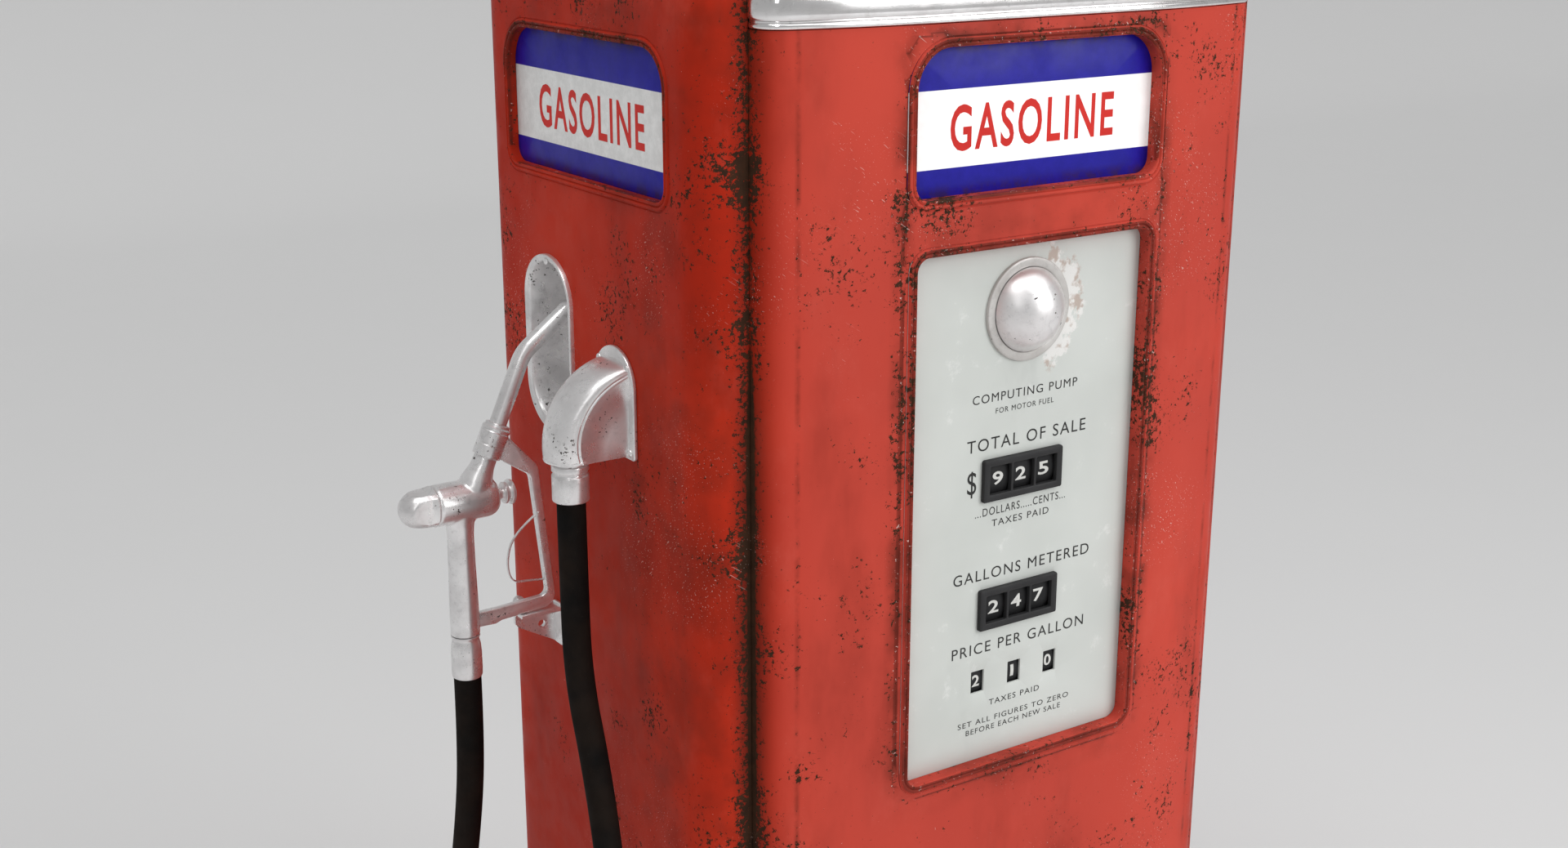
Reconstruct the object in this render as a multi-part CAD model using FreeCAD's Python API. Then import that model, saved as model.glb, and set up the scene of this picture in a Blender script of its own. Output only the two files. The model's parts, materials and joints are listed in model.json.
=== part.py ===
import FreeCAD, Part
import math
import os

from FreeCAD import Placement, Rotation
from FreeCAD import Vector as V

# Two-sided computing petrol pump. Millimetres, +Z up, origin on the ground under the middle of the
# cabinet. The front face looks along -Y and the hose and nozzle hang on the -X side.

# ---- driving dimensions: cabinet ----
SIDE_X = 286.5            # outer face of a side panel
CORNER_Y = 188.0          # where a side panel's rounded corner meets the door seam
CORNER_R = 38.0           # rounded corner of a side panel
DOOR_HALF = 247.0         # half width of a door
DOOR_Y = 229.0            # flat middle of a door's face
DOOR_FLAT = 100.0         # half width of that flat middle
DOOR_BOW_R = 560.0        # bow from the flat middle towards the edge
DOOR_EDGE_R = 25.0        # rounded vertical edge of a door
SHEET = 2.0               # sheet metal thickness
SEAM = 0.5                # gap between neighbouring sheets
BASE_TOP = 90.0
DOOR_Z = 520.0            # seam between the lower panel and the door
TRIM_Z = 1340.0           # bottom of the bright band, top of the door
TRIM_H = 25.0
SHOULDER_Z = 1400.0       # top of the side panels
CROWN_Z = 1412.0          # top of the crown
COLLAR_Z = 1450.0         # top of the lamp-globe collar
LIP_Y = DOOR_Y + 2.5      # front of the raised lips round the openings
PAD_Y = DOOR_Y + 1.2      # front of the raised field behind the lips
FLANGE_IN = 18.0          # depth of the folded flanges

# ---- driving dimensions: openings and dial ----
AD_HALF = 124.0
AD_Z = (1207.5, 1322.0)
AD_R = (13.0, 32.0)       # lower and upper corner radii
SIDE_AD_HALF = 131.0
DIAL_HALF = 121.0
DIAL_Z = (716.0, 1163.0)
DIAL_R = 11.0
LIP_W = 7.0
FIT = 0.3                 # clearance between a plate and the lips before it
PLATE_Y = DOOR_Y - 10.0   # front of the dial plate and the door glass
PLATE_T = 2.0
GLASS_T = 4.0
DOME_Z = 1107.0
DOME_R = 35.0
DOME_H = 24.0
DOME_RING_R = 43.0
DOME_RING_T = 3.0
SALE_Z = 967.0
GALLONS_Z = 853.0
BEZEL_W = 84.6
BEZEL_H = 36.5
BEZEL_PROUD = 4.0
DIGIT_PITCH = 24.7
DIGIT_W = 22.0
DIGIT_WINDOW_H = 24.0
WHEEL_R = 34.0
WHEEL_W = 23.4
PRICE_PITCH = 40.0
PRICE_WINDOW = (13.8, 20.0)
PRICE_WHEEL_R = 28.0
PRICE_WHEEL_W = 18.0
WHEEL_GAP = 3.0           # between the gallons wheels and the price wheels below them
PRICE_Z = GALLONS_Z - WHEEL_R - WHEEL_GAP - PRICE_WHEEL_R
CASE_GAP = 12.7           # behind the sale and gallons wheels
SHAFT_R = 4.0
RUNNING = 0.05            # radial clearance of a running fit

# ---- driving dimensions: hose side ----
NOZZLE_Y = 65.6
BOOT_Z = (981.0, 1136.0)
BOOT_W = 83.0
BOOT_RIM = 10.0
BOOT_DEPTH = 46.0
BOOT_T = 2.5
FLANGE_T = 3.0
OUTLET_Y = -49.5
OUTLET_X = -SIDE_X - 45.2 # axis of the hanging hose
ELBOW_Z = (991.0, 1081.0)
ELBOW_W = 64.6
COUPLING_R = 15.35
COUPLING_Z = (958.0, 993.0)
HOSE_R = 12.0
VALVE_Z = 932.7
VALVE_R = 18.0
BARREL_X = (-SIDE_X - 117.2, -SIDE_X - 59.1)
CAP_END = -SIDE_X - 147.2
HANDLE_X = -SIDE_X - 93.5
FERRULE_Z = (772.0, 811.0)
SPOUT_R = 7.5
COLLAR_R = 12.4
HANDLE_R = (12.8, 11.6)   # lower and upper end of the tapered handle
COLLAR_START = (-SIDE_X - 66.5, 968.4)
COLLAR_END = (-SIDE_X - 55.1, 992.5)
SPOUT_BEND = (-SIDE_X - 28.2, 1053.6)
SPOUT_TIP = (-SIDE_X + 18.5, 1088.5)
GUARD_W = 6.5             # thickness of the guard plate across the nozzle
TRIGGER_PIN = (-SIDE_X - 20.4, 908.0)
TRIGGER_PIN_R = 1.2
TRIGGER_EYE_R = 2.4
TRIGGER_T = 1.5
TRIGGER_W = 3.0
STEM_R = 5.0
HOOK_Y = 69.0
HOOK_TOP = 817.6

# ---- driving dimensions: machinery ----
ANCHOR = (420.0, 300.0)   # anchor bolt rectangle
ANCHOR_R = 8.0
SUCTION = (-130.0, 95.0)
SUCTION_THREAD_R = 21.0
SUCTION_THREAD_L = 25.0
CONDUIT = (170.0, 120.0)
CONDUIT_R = 13.5
PIPE_R = 17.0
MOTOR_R = 68.0
MOTOR_AXIS = (75.0, 190.0)
PUMP_AXIS = (-85.0, 190.0)
MOTOR_PULLEY_R = 30.0
PUMP_PULLEY_R = 75.0
BELT_X = -32.0
BELT_W = 13.0
BELT_T = 7.0
METER_AT = (0.0, 0.0)
METER_Z = (502.0, 612.0)
METER_R = 78.0
METER_SHAFT_R = 6.0
METER_PORT_X = 94.0
METER_PORT_Z = 545.0

# ---- driving dimensions: right side ----
CRANK_AT = (-40.0, 930.0)
SWITCH_AT = (60.0, 1010.0)

# The hose's route, from the coupling on the outlet to the ferrule on the nozzle handle.
HOSE_ROUTE = [
    (OUTLET_X, OUTLET_Y, 958.0),
    (OUTLET_X, OUTLET_Y, 882.0),
    (-332.2, -53.0, 802.0),
    (-333.0, -83.0, 728.0),
    (-334.0, -106.0, 640.0),
    (-335.5, -128.0, 525.0),
    (-338.0, -160.0, 395.0),
    (-341.0, -176.0, 275.0),
    (-346.0, -150.0, 160.0),
    (-353.0, -62.0, 84.0),
    (-360.0, 52.0, 84.0),
    (-367.0, 142.0, 155.0),
    (-372.0, 174.0, 265.0),
    (-376.0, 155.0, 390.0),
    (-378.5, 116.0, 515.0),
    (-379.3, 80.0, 630.0),
    (HANDLE_X, NOZZLE_Y, 705.0),
    (HANDLE_X, NOZZLE_Y, 772.0),
]

os.makedirs("parts", exist_ok=True)


def save(name, *shapes):
    """Write one node: one shape, or several separate solids."""
    solids = [solid for shape in shapes for solid in shape.Solids]
    for solid in solids:
        if not solid.isValid():
            print("INVALID", name)
    node = solids[0] if len(solids) == 1 else Part.makeCompound(solids)
    node.exportStep("parts/" + name + ".step")
    print(f"{name}: {len(solids)} solids, {node.Volume / 1000:.1f} cm3")


def box(x0, x1, y0, y1, z0, z1):
    return Part.makeBox(x1 - x0, y1 - y0, z1 - z0, V(x0, y0, z0))


def rod(start, end, radius):
    start, end = V(*start), V(*end)
    return Part.makeCylinder(radius, (end - start).Length, start, end - start)


def tube(start, end, outer, inner):
    return rod(start, end, outer).cut(rod(start, end, inner))


def turned(shape):
    """The same piece on the rear face, turned half round the vertical axis."""
    return shape.copy().rotated(V(0, 0, 0), V(0, 0, 1), 180)


def front_and_rear(shape):
    return Part.makeCompound([shape, turned(shape)])


def mirrored_x(shape):
    return shape.mirror(V(0, 0, 0), V(1, 0, 0))


def fuse(first, *others):
    return first.multiFuse(list(others)).removeSplitter()


def prism(edges, direction):
    wire = Part.Wire(Part.__sortEdges__(edges))
    return Part.Face(wire).extrude(V(*direction))


def polygon(points, direction):
    return Part.Face(Part.makePolygon([V(*p) for p in points + points[:1]])).extrude(V(*direction))


def rounded_outline(half, low, high, r_low, r_high):
    """Outline of a rounded rectangle in (across, up) coordinates, as (kind, points) pieces."""
    def on_arc(cx, cz, r, degrees):
        angle = math.radians(degrees)
        return (cx + r * math.cos(angle), cz + r * math.sin(angle))
    corners = [(half - r_low, low + r_low, r_low, -90), (half - r_high, high - r_high, r_high, 0),
               (-half + r_high, high - r_high, r_high, 90), (-half + r_low, low + r_low, r_low, 180)]
    return [[on_arc(cx, cz, r, start + turn) for turn in (0, 45, 90)] for cx, cz, r, start in corners]


def plate(face, centre, half, low, high, r_low, r_high, near, far):
    """A rounded plate: face 'y' lies across X and is thick along Y, face 'x' the other way."""
    def point(p, depth):
        return V(centre + p[0], depth, p[1]) if face == "y" else V(depth, centre + p[0], p[1])
    arcs = rounded_outline(half, low, high, r_low, r_high)
    edges = []
    for i, arc in enumerate(arcs):
        following = arcs[(i + 1) % 4][0]
        edges.append(Part.Arc(*[point(p, near) for p in arc]).toShape())
        if math.dist(arc[2], following) > 0.01:
            edges.append(Part.LineSegment(point(arc[2], near), point(following, near)).toShape())
    along = (0, far - near, 0) if face == "y" else (far - near, 0, 0)
    return prism(edges, along)


def lip(face, half, low, high, r_low, r_high, near, far, width=LIP_W):
    """A raised frame round an opening."""
    outer = plate(face, 0, half + width, low - width, high + width, r_low + width, r_high + width,
                  near, far)
    return outer.cut(plate(face, 0, half, low, high, r_low, r_high, near - 1, far + 1))


# ---- cabinet sheet metal ----
def plan_arc(centre, radius, start, end):
    points = []
    for angle in (start, (start + end) / 2, end):
        a = math.radians(angle)
        points.append(V(centre[0] + radius * math.cos(a), centre[1] + radius * math.sin(a), 0))
    return Part.Arc(*points).toShape(), points[0], points[2]


def door_skin(offset, back):
    """The line of a door's face in plan, from its left flange to its right, moved in by offset."""
    bow_y = DOOR_BOW_R - DOOR_Y
    edge_x = DOOR_HALF - DOOR_EDGE_R
    reach = DOOR_BOW_R - DOOR_EDGE_R
    across = edge_x - DOOR_FLAT
    edge_y = bow_y - math.sqrt(reach ** 2 - across ** 2)
    lean = math.degrees(math.asin(across / reach))
    left_edge, a, _ = plan_arc((-edge_x, edge_y), DOOR_EDGE_R - offset, 180, 270 - lean)
    left_bow, _, b = plan_arc((-DOOR_FLAT, bow_y), DOOR_BOW_R - offset, 270 - lean, 270)
    right_bow, c, _ = plan_arc((DOOR_FLAT, bow_y), DOOR_BOW_R - offset, 270, 270 + lean)
    right_edge, _, d = plan_arc((edge_x, edge_y), DOOR_EDGE_R - offset, 270 + lean, 360)
    return [Part.LineSegment(V(a.x, back, 0), a).toShape(), left_edge, left_bow,
            Part.LineSegment(b, c).toShape(), right_bow, right_edge,
            Part.LineSegment(d, V(d.x, back, 0)).toShape()]


def door_body(offset, back, z0, z1):
    """Solid behind a door's face."""
    edges = door_skin(offset, back)
    half = DOOR_HALF - offset
    edges.append(Part.LineSegment(V(half, back, 0), V(-half, back, 0)).toShape())
    return prism(edges, (0, 0, z1 - z0)).translated(V(0, 0, z0))


def door_shell(z0, z1):
    back = -CORNER_Y + FLANGE_IN
    shell = door_body(0, back, z0, z1).cut(door_body(SHEET, back + 60, z0 + SHEET, z1 - SHEET))
    inside = DOOR_HALF - 12
    return shell.cut(box(-inside, inside, -DOOR_Y + 30, back + 1, z0 - 1, z1 + 1))


def make_door():
    door = door_shell(DOOR_Z + SEAM, TRIM_Z - SEAM)
    field = plate("y", 0, DIAL_HALF + 12, DIAL_Z[0] - 12, AD_Z[1] + 10, 14, 40, -PAD_Y, -DOOR_Y + 1)
    ad_lip = lip("y", AD_HALF, *AD_Z, *AD_R, -LIP_Y, -PLATE_Y - FIT)
    dial_lip = lip("y", DIAL_HALF, *DIAL_Z, DIAL_R, DIAL_R, -LIP_Y, -PLATE_Y - FIT)
    door = fuse(door, field)
    door = door.cut(plate("y", 0, AD_HALF, *AD_Z, *AD_R, -LIP_Y - 5, -PLATE_Y + 5))
    door = door.cut(plate("y", 0, DIAL_HALF, *DIAL_Z, DIAL_R, DIAL_R, -LIP_Y - 5, -PLATE_Y + 5))
    return fuse(door, ad_lip, dial_lip)


def cabinet_block(offset, top):
    """The cabinet's full plan with rounded corners and rounded shoulders, moved in by offset."""
    block = box(-SIDE_X + offset, SIDE_X - offset, -CORNER_Y + offset, CORNER_Y - offset, BASE_TOP, top)
    upright = [e for e in block.Edges if abs(e.Vertexes[0].Z - e.Vertexes[1].Z) > 1]
    block = block.makeFillet(CORNER_R - offset, upright)
    rim = [e for e in block.Edges if min(v.Z for v in e.Vertexes) > top - 0.1]
    return block.makeFillet(CORNER_R - offset - 4, rim)


def make_side_panel():
    """The left panel: a folded sheet with a shoulder at its top and flanges at the seams."""
    shell = cabinet_block(0, SHOULDER_Z).cut(cabinet_block(SHEET, SHOULDER_Z - SHEET))
    inner_x = -DOOR_HALF - SEAM
    shell = shell.common(box(-SIDE_X - 1, inner_x, -CORNER_Y - 1, CORNER_Y + 1, BASE_TOP + SHEET, 2000))
    for side in (-1, 1):
        y_out = side * (CORNER_Y - 0.2)
        y_in = side * (CORNER_Y - FLANGE_IN)
        flange = box(inner_x - SHEET, inner_x, min(y_out, y_in), max(y_out, y_in),
                     BASE_TOP + SHEET, SHOULDER_Z - 4)
        shell = fuse(shell, flange)
    cutter = plate("x", 0, SIDE_AD_HALF, *AD_Z, *AD_R, -SIDE_X - 5, -SIDE_X + 20)
    ad_lip = lip("x", SIDE_AD_HALF, *AD_Z, *AD_R, -SIDE_X - 1.5, -SIDE_X + 7.7)
    return fuse(shell.cut(cutter), ad_lip)


BOOT_HALF = BOOT_W / 2
CUP_HALF = BOOT_HALF - BOOT_RIM
CUP_Z = (BOOT_Z[0] + 17, BOOT_Z[1] - 17)
PIPE_HOLE_R = PIPE_R + 3
PIPE_HOLE_Z = 1036.0


def stadium(half, low, high, near, far):
    return plate("x", NOZZLE_Y, half, low, high, half - 0.1, half - 0.1, near, far)


def make_left_panel():
    panel = make_side_panel()
    cup_room = stadium(CUP_HALF + BOOT_T + 1, CUP_Z[0] - BOOT_T - 1, CUP_Z[1] + BOOT_T + 1,
                       -SIDE_X - 5, -SIDE_X + 10)
    pipe_hole = rod((-SIDE_X - 5, OUTLET_Y, PIPE_HOLE_Z), (-SIDE_X + 10, OUTLET_Y, PIPE_HOLE_Z),
                    PIPE_HOLE_R)
    return panel.cut(cup_room).cut(pipe_hole)


def make_right_panel():
    panel = mirrored_x(make_side_panel())
    for y, z in (CRANK_AT, SWITCH_AT):
        panel = panel.cut(rod((SIDE_X - 10, y, z), (SIDE_X + 5, y, z), 12.0))
    return panel


def make_crown():
    """The cap between the side panels, bowed to the front and rear like the doors."""
    def block(offset, top, fillet):
        front = door_body(offset, 0.1, TRIM_Z, top)
        whole = fuse(front, turned(front))
        rim = [e for e in whole.Edges if min(v.Z for v in e.Vertexes) > top - 0.1
               and e.Length > 5]
        return whole.makeFillet(fillet, rim)
    inset = 3.0
    outer = block(inset, CROWN_Z, 18.0)
    inner = block(inset + SHEET, CROWN_Z - SHEET, 16.0)
    return outer.cut(inner.cut(box(-300, 300, -300, 300, TRIM_Z - 5, TRIM_Z)))


def make_trim():
    """The bright band over a door: a small bead below a rounded band, with closed ends."""
    start_y = -CORNER_Y - SEAM
    path = Part.Wire([e.translated(V(0, 0, TRIM_Z)) for e in door_skin(0, start_y)])

    def spot(out, up):
        return V(-DOOR_HALF - out, start_y, TRIM_Z + up)
    section = [
        Part.LineSegment(spot(-2.4, 0), spot(0.2, 0)).toShape(),
        Part.Arc(spot(0.2, 0), spot(1.8, 2.4), spot(0.2, 4.8)).toShape(),
        Part.LineSegment(spot(0.2, 4.8), spot(0.2, 5.8)).toShape(),
        Part.Arc(spot(0.2, 5.8), spot(3.0, 8.6), spot(3.0, 12.4)).toShape(),
        Part.LineSegment(spot(3.0, 12.4), spot(3.0, 19.0)).toShape(),
        Part.Arc(spot(3.0, 19.0), spot(1.8, 23.0), spot(-2.4, TRIM_H)).toShape(),
        Part.LineSegment(spot(-2.4, TRIM_H), spot(-2.4, 0)).toShape(),
    ]
    return path.makePipeShell([Part.Wire(section)], True, True)


# ---- dial ----
def digit_window(centre_z, count, pitch, width, height, near, far):
    pieces = []
    for i in range(count):
        x = (i - (count - 1) / 2) * pitch
        pieces.append(box(x - width / 2, x + width / 2, near, far, centre_z - height / 2,
                          centre_z + height / 2))
    return pieces


def make_dial_plate():
    half = DIAL_HALF + LIP_W
    sheet = plate("y", 0, half, DIAL_Z[0] - LIP_W, DIAL_Z[1] + LIP_W, 8, 8, -PLATE_Y,
                  -PLATE_Y + PLATE_T)
    windows = []
    for z in (SALE_Z, GALLONS_Z):
        windows += digit_window(z, 1, 0, 3 * DIGIT_PITCH + 1, 31, -PLATE_Y - 1, -PLATE_Y + 5)
    windows += digit_window(PRICE_Z, 3, PRICE_PITCH, *PRICE_WINDOW, -PLATE_Y - 1, -PLATE_Y + 5)
    windows.append(rod((0, -PLATE_Y - 1, DOME_Z), (0, -PLATE_Y + 5, DOME_Z), DOME_R - 6))
    for window in windows:
        sheet = sheet.cut(window)
    return sheet


def make_bezel(z):
    front = -PLATE_Y - BEZEL_PROUD
    bezel = plate("y", 0, BEZEL_W / 2, z - BEZEL_H / 2, z + BEZEL_H / 2, 2, 2, front, -PLATE_Y)
    for window in digit_window(z, 3, DIGIT_PITCH, DIGIT_W, DIGIT_WINDOW_H, front - 1, -PLATE_Y + 1):
        bezel = bezel.cut(window)
    return bezel


def make_dome():
    def cap(radius, height):
        ball_r = (radius ** 2 + height ** 2) / (2 * height)
        centre = V(0, -PLATE_Y - DOME_RING_T + ball_r - height, DOME_Z)
        ball = Part.makeSphere(ball_r, centre)
        keep = box(-60, 60, -PLATE_Y - DOME_RING_T - height - 1, -PLATE_Y - DOME_RING_T,
                   DOME_Z - 60, DOME_Z + 60)
        return ball.common(keep)
    dome = cap(DOME_R, DOME_H).cut(cap(DOME_R - 2, DOME_H - 2))
    skirt = tube((0, -PLATE_Y - DOME_RING_T, DOME_Z), (0, -PLATE_Y, DOME_Z), DOME_R, DOME_R - 2)
    return fuse(dome, skirt)


def make_dome_ring():
    return tube((0, -PLATE_Y - DOME_RING_T, DOME_Z), (0, -PLATE_Y, DOME_Z), DOME_RING_R,
                DOME_R + RUNNING)


WHEEL_Y = -PLATE_Y + FIT + WHEEL_R
PRICE_WHEEL_Y = -PLATE_Y + PLATE_T + FIT + PRICE_WHEEL_R


def make_wheel(x, y, z, radius, width):
    """A number wheel: rim, thin web and hub, running on its shaft."""
    x0, x1 = x - width / 2, x + width / 2
    rim = tube((x0, y, z), (x1, y, z), radius, radius - 3)
    web = rod((x - 1.5, y, z), (x + 1.5, y, z), radius - 2)
    hub = rod((x0 + 0.5, y, z), (x1 - 0.5, y, z), 9)
    return fuse(rim, web, hub).cut(rod((x0 - 1, y, z), (x1 + 1, y, z), SHAFT_R + RUNNING))


CHEEK_X = 58.0
CHEEK_T = 4.0
CHEEK_GAP = 14.0          # behind the dial plates
RAIL_TOP = 706.0
BOX_Z = (836.0, 1000.0)


def make_computer():
    """Two cheek plates carry the wheel shafts, with the gear case between them."""
    deep = PLATE_Y - CHEEK_GAP
    cheek = box(CHEEK_X, CHEEK_X + CHEEK_T, -deep, deep, 762, 1006)
    legs = box(CHEEK_X, CHEEK_X + CHEEK_T, -162, 162, RAIL_TOP, 765)
    cheek = fuse(cheek, legs)
    solids = [cheek, mirrored_x(cheek)]
    low, high = BOX_Z
    deep = PLATE_Y - FIT - 2 * WHEEL_R - CASE_GAP
    case = box(-CHEEK_X, CHEEK_X, -deep, deep, low, high)
    case = case.cut(box(-CHEEK_X + 3, CHEEK_X - 3, 3 - deep, deep - 3, low + 3, high - 3))
    bearing = rod((*METER_AT, low), (*METER_AT, low + 30), 16)
    well = rod((*METER_AT, low - 1), (*METER_AT, low + 28), METER_SHAFT_R + RUNNING)
    solids.append(fuse(case, bearing).cut(well))
    for y, z in ((WHEEL_Y, SALE_Z), (WHEEL_Y, GALLONS_Z), (PRICE_WHEEL_Y, PRICE_Z)):
        shaft = rod((-CHEEK_X, y, z), (CHEEK_X, y, z), SHAFT_R)
        solids += [shaft, turned(shaft)]
    return solids


# ---- frame and machinery ----
POST_X = 236.0
POST_Y = 160.0
ANGLE = 30.0
ANGLE_T = 4.0
FLOOR_T = 12.0
FRAME_TOP = TRIM_Z - 4


def angle_post(x, y):
    sx, sy = (1 if x > 0 else -1), (1 if y > 0 else -1)
    def leg(dx, dy):
        return box(min(x, x - sx * dx), max(x, x - sx * dx), min(y, y - sy * dy), max(y, y - sy * dy),
                   BASE_TOP, FRAME_TOP)
    return fuse(leg(ANGLE, ANGLE_T), leg(ANGLE_T, ANGLE))


def make_frame():
    solids = [angle_post(x, y) for x in (-POST_X, POST_X) for y in (-POST_Y, POST_Y)]
    end_x = POST_X - ANGLE_T
    end_y = POST_Y - ANGLE_T
    for z in (RAIL_TOP - 14, 1184.0, FRAME_TOP - 14):
        for y in (-end_y, end_y - 12):
            solids.append(box(-end_x, end_x, y, y + 12, z, z + 14))
    for x in (-end_x, end_x - 12):
        for z in (486.0, 1170.0):
            solids.append(box(x, x + 12, -end_y, end_y, z, z + 14))
    for y in (-60.0, 46.0):
        solids.append(box(-end_x + 12, end_x - 12, y, y + 14, 486, 500))
    return solids


def make_base():
    """Cast base: floor, skirt and an inward ledge that the posts stand on."""
    half_x, half_y = 274.0, 212.0
    outer = box(-half_x, half_x, -half_y, half_y, 0, BASE_TOP)
    upright = [e for e in outer.Edges if abs(e.Vertexes[0].Z - e.Vertexes[1].Z) > 1]
    outer = outer.makeFillet(30, upright)
    base = outer.cut(box(-half_x + 10, half_x - 10, -half_y + 10, half_y - 10, FLOOR_T, BASE_TOP - 10))
    base = base.cut(box(-POST_X + ANGLE, POST_X - ANGLE, -POST_Y + ANGLE, POST_Y - ANGLE,
                        BASE_TOP - 11, BASE_TOP + 1))
    for x in (-ANCHOR[0] / 2, ANCHOR[0] / 2):
        for y in (-ANCHOR[1] / 2, ANCHOR[1] / 2):
            base = base.cut(rod((x, y, -1), (x, y, FLOOR_T + 1), ANCHOR_R))
    base = base.cut(rod((*SUCTION, -1), (*SUCTION, FLOOR_T + 1), SUCTION_THREAD_R + 6))
    return base.cut(rod((*CONDUIT, -1), (*CONDUIT, FLOOR_T + 1), CONDUIT_R))


def bent_pipe(points, radius):
    runs = [rod(p, q, radius) for p, q in zip(points, points[1:])]
    elbows = [Part.makeSphere(radius, V(*p)) for p in points[1:-1]]
    return fuse(runs[0], *(runs[1:] + elbows)) if len(runs) > 1 else runs[0]


PUMP_BOX = (8.0, 120.0)
PUMP_HALF = 62.0
TANK_AT = (-145.0, -70.0)
TANK_R = 52.0
TANK_Z = (FLOOR_T, 330.0)


def make_pump():
    y, z = PUMP_AXIS
    body = box(*PUMP_BOX, y - PUMP_HALF, y + PUMP_HALF, z - PUMP_HALF, z + PUMP_HALF)
    foot = box(PUMP_BOX[0] + 6, PUMP_BOX[1] - 6, y - 44, y + 44, FLOOR_T, z - PUMP_HALF + 1)
    body = fuse(body, foot)
    bore = rod((PUMP_BOX[0] - 1, y, z), (PUMP_BOX[0] + 60, y, z), 8 + RUNNING)
    return body.cut(bore)


def make_tank():
    low, high = TANK_Z
    tank = rod((*TANK_AT, low), (*TANK_AT, high), TANK_R)
    rim = [e for e in tank.Edges if e.Vertexes[0].Z > high - 1 and len(e.Vertexes) == 1]
    tank = tank.makeFillet(20, rim)
    return tank.cut(rod((*TANK_AT, low + 4), (*TANK_AT, high - 24), TANK_R - 4))


def make_motor():
    y, z = MOTOR_AXIS
    barrel = rod((8, y, z), (205, y, z), MOTOR_R)
    barrel = barrel.makeFillet(8, [e for e in barrel.Edges if len(e.Vertexes) == 1])
    foot = box(40, 170, y - 45, y + 45, FLOOR_T, z - MOTOR_R + 20)
    return fuse(barrel, foot).cut(rod((0, y, z), (80, y, z), 8 + RUNNING))


def make_pulley(axis, radius, reach):
    y, z = axis
    x0 = BELT_X - BELT_W / 2 - FIT
    x1 = BELT_X + BELT_W / 2 + FIT
    drum = rod((x0, y, z), (x1, y, z), radius)
    cheeks = [rod((x, y, z), (x + 4, y, z), radius + BELT_T) for x in (x0 - 4, x1)]
    shaft = rod((x0 - 10, y, z), (reach, y, z), 8)
    return fuse(drum, *cheeks, shaft)


def belt_outline(extra):
    """Both pulleys' circles, grown by extra, joined by their outer tangents, as one solid."""
    (ya, za), (yb, zb) = MOTOR_AXIS, PUMP_AXIS
    ra, rb = MOTOR_PULLEY_R + extra, PUMP_PULLEY_R + extra
    span = math.dist(MOTOR_AXIS, PUMP_AXIS)
    lean = math.acos((rb - ra) / span)
    heading = math.atan2(za - zb, ya - yb)
    x = BELT_X - BELT_W / 2
    def on(centre, r, angle):
        return (x, centre[0] + r * math.cos(angle), centre[1] + r * math.sin(angle))
    points = [on(PUMP_AXIS, rb, heading + lean), on(MOTOR_AXIS, ra, heading + lean),
              on(MOTOR_AXIS, ra, heading - lean), on(PUMP_AXIS, rb, heading - lean)]
    middle = polygon(points, (BELT_W, 0, 0))
    ends = [rod((x, ya, za), (x + BELT_W, ya, za), ra), rod((x, yb, zb), (x + BELT_W, yb, zb), rb)]
    return middle.multiFuse(ends)


def make_belt():
    return belt_outline(BELT_T).cut(belt_outline(FIT))


def make_meter():
    low, high = METER_Z
    body = rod((*METER_AT, low), (*METER_AT, high - 25), METER_R)
    flange = rod((*METER_AT, low + 38), (*METER_AT, low + 50), METER_R + 9)
    boss = rod((*METER_AT, high - 30), (*METER_AT, high), 24)
    ports = [rod((METER_PORT_X, 0, METER_PORT_Z), (-METER_PORT_X, 0, METER_PORT_Z), PIPE_R + 5)]
    well = rod((*METER_AT, high - 22), (*METER_AT, high + 1), METER_SHAFT_R + RUNNING)
    return fuse(body, flange, boss, *ports).cut(well)


def make_meter_shaft():
    return rod((*METER_AT, METER_Z[1] - 20), (*METER_AT, BOX_Z[0] + 25), METER_SHAFT_R)


def make_pipes():
    sx, sy = SUCTION
    pump_y, pump_z = PUMP_AXIS
    inlet = bent_pipe([(sx, sy, 2), (sx, sy, 410), (sx + 60, sy, 410), (sx + 60, pump_y - 20, 410),
                       (45, pump_y - 20, 410), (45, pump_y - 20, pump_z + PUMP_HALF)], PIPE_R)
    nut = rod((sx, sy, 2), (sx, sy, 34), SUCTION_THREAD_R + 5)
    inlet = fuse(inlet, nut)
    inlet = inlet.cut(rod((sx, sy, 0), (sx, sy, 2 + SUCTION_THREAD_L), SUCTION_THREAD_R))
    inlet = inlet.cut(rod((sx, sy, 0), (sx, sy, 380), PIPE_R - 3))
    outlet = bent_pipe([(PUMP_BOX[1], pump_y - 30, pump_z), (190, pump_y - 30, pump_z),
                        (190, pump_y - 30, 360), (190, 0, 360), (190, 0, METER_PORT_Z),
                        (METER_PORT_X, 0, METER_PORT_Z)], PIPE_R)
    riser_x = -200.0
    riser = bent_pipe([(-METER_PORT_X, 0, METER_PORT_Z), (riser_x, 0, METER_PORT_Z),
                       (riser_x, OUTLET_Y, METER_PORT_Z),
                       (riser_x, OUTLET_Y, PIPE_HOLE_Z), (-SIDE_X, OUTLET_Y, PIPE_HOLE_Z)], PIPE_R)
    vent = bent_pipe([(*TANK_AT, TANK_Z[1]), (*TANK_AT, 452)], 9)
    return [inlet, outlet, riser, vent]


# ---- outlet elbow and hose ----
WALL_X = -SIDE_X
SNOUT_HALF = 21.0


def ellipse_wire(centre, across, upward, half_across, half_up):
    """A closed elliptical section about centre."""
    if half_across >= half_up:
        curve = Part.Ellipse(centre + across * half_across, centre + upward * half_up, centre)
    else:
        curve = Part.Ellipse(centre + upward * half_up, centre - across * half_across, centre)
    return Part.Wire(curve.toShape())


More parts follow.
